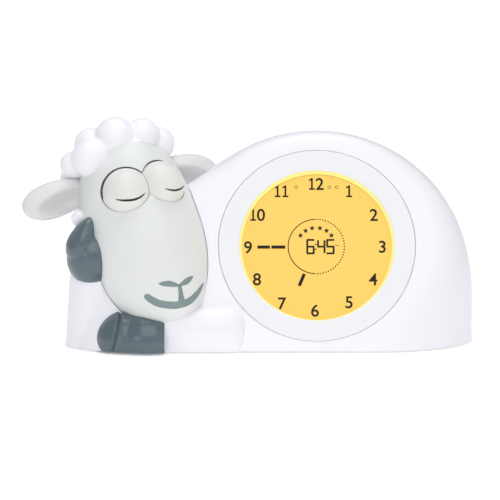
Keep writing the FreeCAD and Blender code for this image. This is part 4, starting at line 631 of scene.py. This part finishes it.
def make_ear(side, name, middle):
    """A plump leaf: round at the tip, narrower at its root, with a hollow in the lower front."""
    place = HEAD @ moved(side * middle, 3.0, 30.0) @ turned(side * EAR_LEAN, "Y")
    rows, around = 56, 72
    points = []
    for i in range(rows + 1):
        u = math.cos(math.pi * i / rows)
        tall = (1 - u**2.4) ** 0.5 if u > 0 else 1 - 0.45 * u * u
        thick = (1 - u**2.2) ** 0.5 if u > 0 else 1 - 0.5 * u * u
        for k in range(around):
            angle = 2 * math.pi * k / around
            z = tall * math.sin(angle)
            y = -thick * math.cos(angle) * EAR_HALF_THICK
            inside = 1 - ((u + 0.3) / 0.98) ** 2 - ((z + 0.42) / 0.62) ** 2
            if math.cos(angle) > 0 and inside > 0:
                y += EAR_HOLLOW * thick * inside**1.1
            spot = Vector((side * EAR_HALF_LENGTH * u, y, EAR_HALF_HEIGHT * z))
            points.append(place @ (spot * MM))
    root = tuple(range(rows * around, (rows + 1) * around))
    faces = [face[::-side] for face in bands(rows, around) + [root]]
    mesh = mesh_of(name, points, faces)
    builder = bmesh.new()
    builder.from_mesh(mesh)
    bmesh.ops.remove_doubles(builder, verts=builder.verts, dist=1e-6)
    bmesh.ops.recalc_face_normals(builder, faces=builder.faces)
    builder.to_mesh(mesh)
    builder.free()
    new_piece(name, mesh, "housing", EAR_GREY, [name])


make_ear(-1, "ear_left", 48.0)
make_ear(1, "ear_right", 38.0)

# Hooves: toes as a centre, half sizes, lean in degrees and how far the upper end narrows

FLOOR_TOES = (
    ((-61.0, -27.5, 6.5), (22.0, 20.5, 19.4), 0, 0.0),
    ((-72.4, -25.8, 6.5), (20.4, 19.0, 18.8), 0, 0.0),
)
FLOOR_HOOF_RIGHT = -50.5
FLOOR_CLEFT = (-79.6, -40.0, 13.0)
CLEFT_LEAN = 12
CLEFT_DEPTH = 1.5
CLEFT_WIDTH = 0.75
CHIN_GAP = 0.7
CHEEK_TOES = (
    ((-94.4, -18.0, 55.4), (15.6, 15.0, 17.0), 0, 0.0),
    ((-100.0, -20.5, 66.8), (8.2, 11.5, 14.6), 23, 0.3),
)


def trimmed(mesh, planes):
    """Cuts a closed mesh by planes, each a point and the side that goes, and closes it."""
    builder = bmesh.new()
    builder.from_mesh(mesh)
    for point, away in planes:
        corner = Vector(point) * MM
        bmesh.ops.bisect_plane(
            builder, geom=everything(builder), plane_co=corner, plane_no=away, clear_outer=True
        )
        rim = [edge for edge in builder.edges if edge.is_boundary]
        bmesh.ops.holes_fill(builder, edges=rim, sides=0)
    bmesh.ops.recalc_face_normals(builder, faces=builder.faces)
    builder.to_mesh(mesh)
    builder.free()
    return softened(mesh, 50)


def toes(name, forms, voxel, passes):
    """Rounded toes melted into one hoof."""
    builder = bmesh.new()
    for centre, half, lean, pointed in forms:
        add_lump(builder, moved(*centre) @ turned(lean, "Y"), half, pointed, 40)
    return melted(name, built(name, builder), voxel, passes)


def crease(mesh, point, lean, depth, width):
    """Presses a groove into a mesh along an upright plane that leans to the right."""
    across = turned(lean, "Y").to_3x3() @ Vector((1, 0, 0))
    moves = []
    for vertex in mesh.vertices:
        distance = (vertex.co - Vector(point) * MM).dot(across) / MM
        moves.append(vertex.normal * depth * MM * bell(distance, 0, width))
    for vertex, move in zip(mesh.vertices, moves):
        vertex.co -= move


def make_hooves():
    """The hoof on the floor, cut flat below and to the right, and the one under the cheek."""
    planes = [((0, 0, BASE_Z), (0, 0, -1)), ((FLOOR_HOOF_RIGHT, 0, 0), (1, 0, 0))]
    lying = toes("lying_toes", FLOOR_TOES, 0.6, 6)
    crease(lying, FLOOR_CLEFT, CLEFT_LEAN, CLEFT_DEPTH, CLEFT_WIDTH)
    lying = trimmed(without("hoof_on_floor", lying, egg_mesh("chin", CHIN_GAP)), planes)
    new_piece("hoof_on_floor", lying, "housing", SLATE, ["hoof_floor"])
    raised = toes("hoof_at_cheek", CHEEK_TOES, 0.55, 4)
    new_piece("hoof_at_cheek", raised, "housing", SLATE, ["hoof_cheek"])


make_hooves()

# Prints and lines that follow a surface

STROKE_RISE = 0.1
STROKE_ROOT = -0.15
STROKE_THINNEST = 0.1
PROBE = 0.2


def face_point(x, z):
    """The point of the face in front of x and z, in the head's frame."""
    share = across_at(z / (HALF_HEIGHT + FACE_GROWN))
    bow = max(1 - (x / (HALF_WIDTH * share + FACE_GROWN)) ** 2, 0)
    return Vector(head_surface(x, -(HALF_DEPTH * share + FACE_GROWN) * math.sqrt(bow), z))


def ball_point(middle):
    """The same for an eye whose centre is at middle on the eyes' axis."""

    def point(x, z):
        return Vector((middle + x, -math.sqrt(max(EYE_RADIUS**2 - x * x - z * z, 0)), z))

    return point


def stroke(builder, place, surface, line, steps=10, across=6):
    """A raised line on a surface: its points are x, z and the width there."""
    row = smooth_row(line, steps)
    layers = []
    for rise in (STROKE_RISE, STROKE_ROOT):
        layer = []
        for i, spot in enumerate(row):
            ahead, behind = row[min(i + 1, len(row) - 1)], row[max(i - 1, 0)]
            along = Vector((ahead.x - behind.x, ahead.y - behind.y)).normalized()
            out = Vector((-along.y, along.x))
            width = max(spot.z, STROKE_THINNEST)
            for k in range(across + 1):
                offset = out * width * (k / across - 0.5)
                x, z = spot.x + offset.x, spot.y + offset.y
                right = surface(x + PROBE, z) - surface(x - PROBE, z)
                up = surface(x, z + PROBE) - surface(x, z - PROBE)
                normal = right.cross(up).normalized()
                layer.append(builder.verts.new(place @ ((surface(x, z) + normal * rise) * MM)))
        layers.append(layer)
    top, bottom = layers
    count = across + 1
    for i in range(len(row) - 1):
        for k in range(across):
            a = i * count + k
            builder.faces.new((top[a], top[a + 1], top[a + count + 1], top[a + count]))
            builder.faces.new((bottom[a], bottom[a + count], bottom[a + count + 1], bottom[a + 1]))
        for k, turn in ((0, 1), (across, -1)):
            a, b = i * count + k, (i + 1) * count + k
            wall = (top[a], top[b], bottom[b], bottom[a])
            builder.faces.new(wall[::turn])
    for i, turn in ((0, -1), (len(row) - 1, 1)):
        for k in range(across):
            a, b = i * count + k, i * count + k + 1
            builder.faces.new((top[a], top[b], bottom[b], bottom[a])[::turn])


def drawn(name, strokes, body, finish):
    """One print made of strokes: each is a frame, a surface and a line."""
    builder = bmesh.new()
    for place, surface, line in strokes:
        stroke(builder, place, surface, line)
    bmesh.ops.recalc_face_normals(builder, faces=builder.faces)
    new_piece(name, softened(built(name, builder), 50), body, finish)


# Nose, lip line and mouth, as x, z and width on the face
MUZZLE_LINES = (
    (
        (-9.4, -41.3, 0.3),
        (-7.6, -42.0, 2.3),
        (-3.6, -43.1, 3.4),
        (0.2, -44.7, 2.4),
        (2.6, -45.6, 0.5),
    ),
    (
        (2.2, -45.2, 0.5),
        (4.6, -44.9, 2.2),
        (8.3, -43.6, 3.4),
        (11.6, -42.0, 2.2),
        (13.6, -41.2, 0.3),
    ),
    ((2.7, -44.6, 1.6), (2.6, -47.0, 2.6), (2.3, -50.5, 3.0), (1.9, -55.4, 4.6)),
    (
        (-17.9, -45.0, 1.2),
        (-16.9, -46.2, 2.8),
        (-14.1, -49.6, 3.5),
        (-9.9, -53.0, 3.6),
        (-1.65, -56.0, 3.8),
        (7.2, -55.2, 3.7),
        (14.5, -51.0, 2.9),
        (19.2, -46.9, 1.7),
        (21.6, -44.6, 0.3),
    ),
)
# The closed lids' lines on the left and the right ball
EYELID_LINES = (
    ((-11.0, -4.8, 0.3), (-6.9, -7.0, 1.0), (-1.7, -8.1, 1.15), (3.0, -7.5, 1.0), (7.0, -5.6, 0.4)),
    ((-2.4, -5.8, 0.3), (1.0, -7.2, 0.9), (4.5, -7.7, 1.0), (8.4, -7.0, 0.85), (11.8, -5.1, 0.3)),
)

muzzle = [(HEAD, face_point, line) for line in MUZZLE_LINES]
drawn("muzzle", muzzle, "housing", MUZZLE_INK)
lids = [(EYES, ball_point(side * EYE_SPREAD), line) for side, line in zip((-1, 1), EYELID_LINES)]
drawn("eyelid_lines", lids, "eyes", LID_INK)

# Open eyes, on the part of each ball that is out of sight until the eyes turn


PUPIL_BELOW = 88
EYE_PARTS = (
    ("pupils", LID_INK, (4.5, 0.75, 4.5), (0.0, -14.31, 0.0)),
    # A small pale dot on each pupil, in the ball's own grey: a painted highlight.
    ("painted_eye_highlights", EYE_GREY, (1.1, 0.3, 1.1), (-1.6, -14.9, 1.8)),
)


def make_open_eyes():
    """A dark round pupil with a small painted highlight on each ball, that far below its front."""
    for name, finish, half, centre in EYE_PARTS:
        builder = bmesh.new()
        for side in (-1, 1):
            ball = EYES @ moved(side * EYE_SPREAD, 0, 0) @ turned(PUPIL_BELOW, "X")
            add_lump(builder, ball @ moved(*centre), half, 0.0, 24)
        mesh = built(name, builder)
        mesh.shade_smooth()
        new_piece(name, mesh, "eyes", finish)


make_open_eyes()

# Dial print, in a frame whose X is to the right and Y up the dial

LCD_DEPTH = 5.0
LCD_FACE = DIAL @ moved(0, LCD_DEPTH, 0) @ turned(90, "X")
NUMERAL_HEIGHT = 7.4
NUMERALS = (
    ("12", -0.59, 39.7),
    ("1", 19.7, 35.1),
    ("2", 34.5, 20.3),
    ("3", 39.6, 0.4),
    ("4", 33.9, -19.9),
    ("5", 19.3, -34.2),
    ("6", -1.2, -39.35),
    ("7", -21.0, -35.0),
    ("8", -36.2, -19.9),
    ("9", -41.6, 0.0),
    ("10", -36.2, 20.3),
    ("11", -21.4, 35.1),
)
INNER_RING = (-0.32, 0.58)
INNER_RING_RADIUS = 17.0
INNER_RING_LINE = 0.58
DOTS = 31
DOT_RADIUS = 0.46
STARS = ((-9.86, 7.45), (-6.77, 10.39), (-2.83, 12.02), (1.89, 12.02), (5.87, 10.45), (8.83, 7.51))
STAR_RADIUS = 1.8
# Straight marks as two ends and a width: a dash by the time, the minute hand in two, the hour hand
MARKS = (
    (11.1, 1.3, 13.3, 1.3, 0.4),
    (-35.93, 0.21, -28.3, 0.21, 2.0),
    (-27.5, 0.21, -19.06, 0.21, 2.0),
    (-7.6, -16.5, -10.7, -24.0, 2.0),
)
SMALL_RINGS = (-12.4, 7.7, 12.1)
SMALL_RING_Y = 37.7
PRINT_THICK = 0.06
PRINT_ROOT = -0.02


def slab(builder, place, outline):
    """A flat closed print: its outline counter-clockwise in a frame whose Z faces the viewer."""
    top = [builder.verts.new(place @ (Vector((x, y, PRINT_THICK)) * MM)) for x, y in outline]
    bottom = [builder.verts.new(place @ (Vector((x, y, PRINT_ROOT)) * MM)) for x, y in outline]
    builder.faces.new(top)
    builder.faces.new(bottom[::-1])
    for i in range(len(outline)):
        n = (i + 1) % len(outline)
        builder.faces.new((bottom[i], bottom[n], top[n], top[i]))


def bar(builder, place, x0, y0, x1, y1, width):
    """A straight print from one point to another."""
    along = Vector((x1 - x0, y1 - y0)).normalized()
    out = Vector((-along.y, along.x)) * width / 2
    near = [(x0 - out.x, y0 - out.y), (x1 - out.x, y1 - out.y)]
    far = [(x1 + out.x, y1 + out.y), (x0 + out.x, y0 + out.y)]
    slab(builder, place, near + far)


def disc(builder, place, x, y, radius, corners):
    """A round dot."""
    turns = [2 * math.pi * k / corners for k in range(corners)]
    slab(builder, place, [(x + radius * math.cos(a), y + radius * math.sin(a)) for a in turns])


def star(builder, place, x, y, radius, inner=0.45):
    """A five-pointed star whose inner corners lie at a share of its radius."""
    outline = []
    for k in range(10):
        angle = math.pi / 2 + math.pi * k / 5
        reach = radius if k % 2 == 0 else radius * inner
        outline.append((x + reach * math.cos(angle), y + reach * math.sin(angle)))
    slab(builder, place, outline)


def arc(builder, place, x, y, radius, start, end, width, pieces):
    """A thin ring or part of one, angles in degrees, as a row of short bars."""
    turns = [math.radians(start + (end - start) * k / pieces) for k in range(pieces + 1)]
    spots = [(x + radius * math.cos(a), y + radius * math.sin(a)) for a in turns]
    for (x0, y0), (x1, y1) in zip(spots, spots[1:]):
        bar(builder, place, x0, y0, x1, y1, width)


CAPITAL_SHARE = 1.42


def lettering(builder, place, text, x, y, height, weight=0.012):
    """Adds raised letters, centred on x and y, thickened by a share of their height."""
    curve = bpy.data.curves.new(text, "FONT")
    curve.body = text
    curve.size = height * CAPITAL_SHARE
    curve.align_x = "CENTER"
    curve.align_y = "CENTER"
    curve.extrude = PRINT_THICK / 2
    curve.offset = weight * height
    holder = bpy.data.objects.new(text, curve)
    bpy.context.scene.collection.objects.link(holder)
    bpy.context.view_layer.update()
    mesh = bpy.data.meshes.new_from_object(holder)
    bpy.data.objects.remove(holder)
    rows = [vertex.co.y for vertex in mesh.vertices]
    columns = [vertex.co.x for vertex in mesh.vertices]
    middle_x, middle_y = (min(columns) + max(columns)) / 2, (min(rows) + max(rows)) / 2
    shift = moved(x - middle_x, y - middle_y, PRINT_THICK / 2)
    mesh.transform(place @ shift @ Matrix.Scale(MM, 4))
    builder.from_mesh(mesh)


def slab_one(builder, place, x, y, height):
    """A figure one with a flag and a foot, its foot centred on x."""
    low, high, reach, thick = y - height / 2, y + height / 2, 0.24 * height, 0.15 * height
    foot = low + thick / 2
    bar(builder, place, x, low, x, high, thick)
    bar(builder, place, x - reach, foot, x + reach, foot, thick * 0.9)
    flag = (x + thick * 0.3, high - thick * 0.4, x - reach, high - 0.2 * height)
    bar(builder, place, *flag, thick * 0.9)


def numeral(builder, place, text, x, y, height):
    """An hour figure, its one or two digits spaced about x."""
    places = (0.0,) if len(text) == 1 else (-0.31 * height, 0.33 * height)
    for digit, shift in zip(text, places):
        if digit == "1":
            slab_one(builder, place, x + shift, y, height)
        else:
            lettering(builder, place, digit, x + shift, y, height, 0.022)


# Seven-bar digits: each bar's ends as shares of a digit's width and height
SEGMENTS = {
    "top": ((0.0, 1.0), (1.0, 1.0)),
    "middle": ((0.0, 0.5), (1.0, 0.5)),
    "bottom": ((0.0, 0.0), (1.0, 0.0)),
    "upper_left": ((0.0, 0.5), (0.0, 1.0)),
    "upper_right": ((1.0, 0.5), (1.0, 1.0)),
    "lower_left": ((0.0, 0.0), (0.0, 0.5)),
    "lower_right": ((1.0, 0.0), (1.0, 0.5)),
}
# The time shown: each digit's left edge and its lit bars
SHOWN = (
    (-6.3, ("top", "upper_left", "middle", "lower_left", "lower_right", "bottom")),
    (0.25, ("upper_left", "middle", "upper_right", "lower_right")),
    (5.75, ("top", "upper_left", "middle", "lower_right", "bottom")),
)


DIGIT_WIDE = 3.9
DIGIT_TALL = 8.4
DIGIT_FOOT = -3.73
DIGIT_INSET = 0.5
BAR_THICK = 1.2
BAR_GAP = 0.2
COLON = (-1.1, -0.2)


def digits(builder, place):
    """The time in seven-bar digits, with a colon of two short bars."""
    for left, lit in SHOWN:
        for key in lit:
            (u0, v0), (u1, v1) = SEGMENTS[key]
            x0, x1 = left + DIGIT_INSET + DIGIT_WIDE * u0, left + DIGIT_INSET + DIGIT_WIDE * u1
            y0, y1 = DIGIT_FOOT + DIGIT_TALL * v0, DIGIT_FOOT + DIGIT_TALL * v1
            if u0 == u1:
                bar(builder, place, x0, y0 + BAR_GAP, x1, y1 - BAR_GAP, BAR_THICK)
            else:
                longer = BAR_THICK / 2
                ends = (x0 + BAR_GAP - longer, y0, x1 - BAR_GAP + longer, y1)
                bar(builder, place, *ends, BAR_THICK)
    for y in (1.9, -1.2):
        bar(builder, place, COLON[0], y, COLON[1], y, 0.9)


def make_dial_print():
    """The hours, both hands, the inner ring, half line and half dots, and what it frames."""
    builder = bmesh.new()
    for text, x, y in NUMERALS:
        numeral(builder, LCD_FACE, text, x, y, NUMERAL_HEIGHT)
    arc(builder, LCD_FACE, *INNER_RING, INNER_RING_RADIUS, 92, 268, INNER_RING_LINE, 60)
    for k in range(DOTS):
        angle = math.radians(-88 + k * 176 / (DOTS - 1))
        x = INNER_RING[0] + INNER_RING_RADIUS * math.cos(angle)
        y = INNER_RING[1] + INNER_RING_RADIUS * math.sin(angle)
        disc(builder, LCD_FACE, x, y, DOT_RADIUS, 12)
    for x, y in STARS:
        star(builder, LCD_FACE, x, y, STAR_RADIUS)
    digits(builder, LCD_FACE)
    for mark in MARKS:
        bar(builder, LCD_FACE, *mark)
    for x in SMALL_RINGS:
        arc(builder, LCD_FACE, x, SMALL_RING_Y, 0.9, 0, 360, 0.3, 16)
    new_piece("dial_print", built("dial_print", builder), "housing", DIAL_INK)


make_dial_print()

# Rear print: a small sign under each button, and the two ends of the switch

BUTTON_STEP = 16
SIGN_HEIGHT = 80.6
SWITCH_HEIGHT = 74.0
SWITCH_WORDS = (("OFF", 94.5), ("ON", 113.5))
WORD_HEIGHT = 2.2


def rear_face(x, z):
    """A frame on the rear face whose X is to the right and Z towards someone behind the clock."""
    return REAR @ moved(x, 0, z) @ turned(180, "Z") @ turned(90, "X")


def add_clock_sign(builder, place):
    arc(builder, place, 0, 0, 2.1, 0, 360, 0.45, 32)
    bar(builder, place, 0, -0.2, 0, 1.3, 0.4)
    bar(builder, place, -0.2, 0, 1.0, 0, 0.4)


def add_bell_sign(builder, place):
    side = ((1.9, -1.3), (1.35, -0.7), (1.2, 0.7), (0.75, 1.5))
    slab(builder, place, side + ((0, 1.85),) + tuple((-x, y) for x, y in side[::-1]))
    disc(builder, place, 0, -1.85, 0.45, 16)


def add_minus_sign(builder, place):
    bar(builder, place, -1.6, 0, 1.6, 0, 0.6)


def add_plus_sign(builder, place):
    arms = ((0.3, 0.3), (0.3, 1.6), (-0.3, 1.6), (-0.3, 0.3), (-1.6, 0.3), (-1.6, -0.3))
    slab(builder, place, arms + tuple((-x, -y) for x, y in arms))


def add_sound_sign(builder, place):
    lower = ((-2.0, -0.6), (-1.1, -0.6), (0.0, -1.6))
    slab(builder, place, lower + tuple((x, -y) for x, y in lower[::-1]))
    arc(builder, place, 0, 0, 1.1, -45, 45, 0.35, 8)
    arc(builder, place, 0, 0, 2.0, -45, 45, 0.35, 12)


def add_lamp_sign(builder, place):
    disc(builder, place, 0, 0, 0.85, 24)
    for k in range(8):
        across, up = math.cos(math.pi * k / 4), math.sin(math.pi * k / 4)
        bar(builder, place, 1.35 * across, 1.35 * up, 2.1 * across, 2.1 * up, 0.35)


SIGNS = (
    add_clock_sign,
    add_bell_sign,
    add_minus_sign,
    add_plus_sign,
    add_sound_sign,
    add_lamp_sign,
)


def make_rear_print():
    builder = bmesh.new()
    for index, add_sign in enumerate(SIGNS):
        x = DIAL_X + BUTTON_STEP * (index - (len(SIGNS) - 1) / 2)
        add_sign(builder, rear_face(x, SIGN_HEIGHT))
    for word, x in SWITCH_WORDS:
        lettering(builder, rear_face(x, SWITCH_HEIGHT), word, 0, 0, WORD_HEIGHT)
    new_piece("rear_print", built("rear_print", builder), "housing", REAR_INK)


make_rear_print()

# Stage, light and camera, in metres and watts

FLOOR_HALF = 3
FLOOR_GLOW_NEAR = 0.26
FLOOR_GLOW_FAR = 0.8
SKY_LIGHT = 0.44
# Each lamp's name, place, width and power
LAMPS = (
    ("key", (0.05, -1.1, 1.1), 1.1, 6.0),
    ("fill", (0.9, -0.9, 0.5), 0.9, 0.8),
    ("top", (0.0, 0.1, 1.3), 0.8, 6.4),
    ("strip", (-0.75, -1.2, 0.35), 0.35, 0.8),
)
LAMP_AIM = (0, 0, 0.05)
CAMERA_TILT = 8
CAMERA_AWAY = 4.0
CAMERA_AIM_X = 0.0009
CAMERA_AIM_Z = 0.0622
SENSOR_WIDTH = 36.0
LENS_LENGTH = 480.0


def make_stage():
    """A plain pale floor that gives a little light, more far away, so that it stays white."""
    corners = [(x * FLOOR_HALF, y * FLOOR_HALF, 0) for x, y in ((-1, -1), (1, -1), (1, 1), (-1, 1))]
    floor = mesh_of("floor", corners, [(0, 1, 2, 3)], smooth=False)
    settings = {"Roughness": 0.7, "Specular IOR Level": 0.1, "Emission Strength": 1.0}
    finish = Finish("pale_floor", settings)
    place = finish.place()
    paper = finish.noise(place, 60.0, 2.0)
    near = finish.axes(place)[1].below(0.35, 0.5)
    dim, bright = [(level, level, level, 1.0) for level in (FLOOR_GLOW_NEAR, FLOOR_GLOW_FAR)]
    finish.feed("Base Color", finish.blended(paper, srgb(254, 254, 254), srgb(252, 252, 252)))
    finish.feed("Emission Color", finish.blended(near, bright, dim))
    piece = bpy.data.objects.new("floor", floor)
    piece.data.materials.append(finish.material)
    bpy.context.scene.collection.objects.link(piece)


def make_light():
    """A white sky for the camera, a softer one for the pieces, and four lamps."""
    world = bpy.data.worlds.new("studio")
    bpy.context.scene.world = world
    world.use_nodes = True
    tree = world.node_tree
    tree.nodes.clear()
    path = tree.nodes.new("ShaderNodeLightPath")
    lit = tree.nodes.new("ShaderNodeBackground")
    lit.inputs["Color"].default_value = (0.97, 0.98, 1.0, 1.0)
    lit.inputs["Strength"].default_value = SKY_LIGHT
    seen = tree.nodes.new("ShaderNodeBackground")
    seen.inputs["Strength"].default_value = 1.0
    mix = tree.nodes.new("ShaderNodeMixShader")
    out = tree.nodes.new("ShaderNodeOutputWorld")
    tree.links.new(path.outputs["Is Camera Ray"], mix.inputs[0])
    tree.links.new(lit.outputs[0], mix.inputs[1])
    tree.links.new(seen.outputs[0], mix.inputs[2])
    tree.links.new(mix.outputs[0], out.inputs[0])
    for name, place, width, power in LAMPS:
        lamp = bpy.data.lights.new(name, "AREA")
        lamp.size = width
        lamp.energy = power
        holder = bpy.data.objects.new(name, lamp)
        holder.location = place
        sight = Vector(LAMP_AIM) - Vector(place)
        holder.rotation_euler = sight.to_track_quat("-Z", "Y").to_euler()
        bpy.context.scene.collection.objects.link(holder)


def make_camera():
    """A long lens far away, a little above level."""
    tilt = math.radians(CAMERA_TILT)
    aim = Vector((CAMERA_AIM_X, FRONT_Y * MM, CAMERA_AIM_Z / math.cos(tilt)))
    lens = bpy.data.cameras.new("camera")
    lens.sensor_width = SENSOR_WIDTH
    lens.lens = LENS_LENGTH
    camera = bpy.data.objects.new("camera", lens)
    camera.location = aim - Vector((0, math.cos(tilt), -math.sin(tilt))) * CAMERA_AWAY
    camera.rotation_euler = (math.radians(90) - tilt, 0, 0)
    bpy.context.scene.collection.objects.link(camera)
    bpy.context.scene.camera = camera


make_stage()
make_light()
make_camera()
bpy.context.scene.view_settings.view_transform = "Standard"
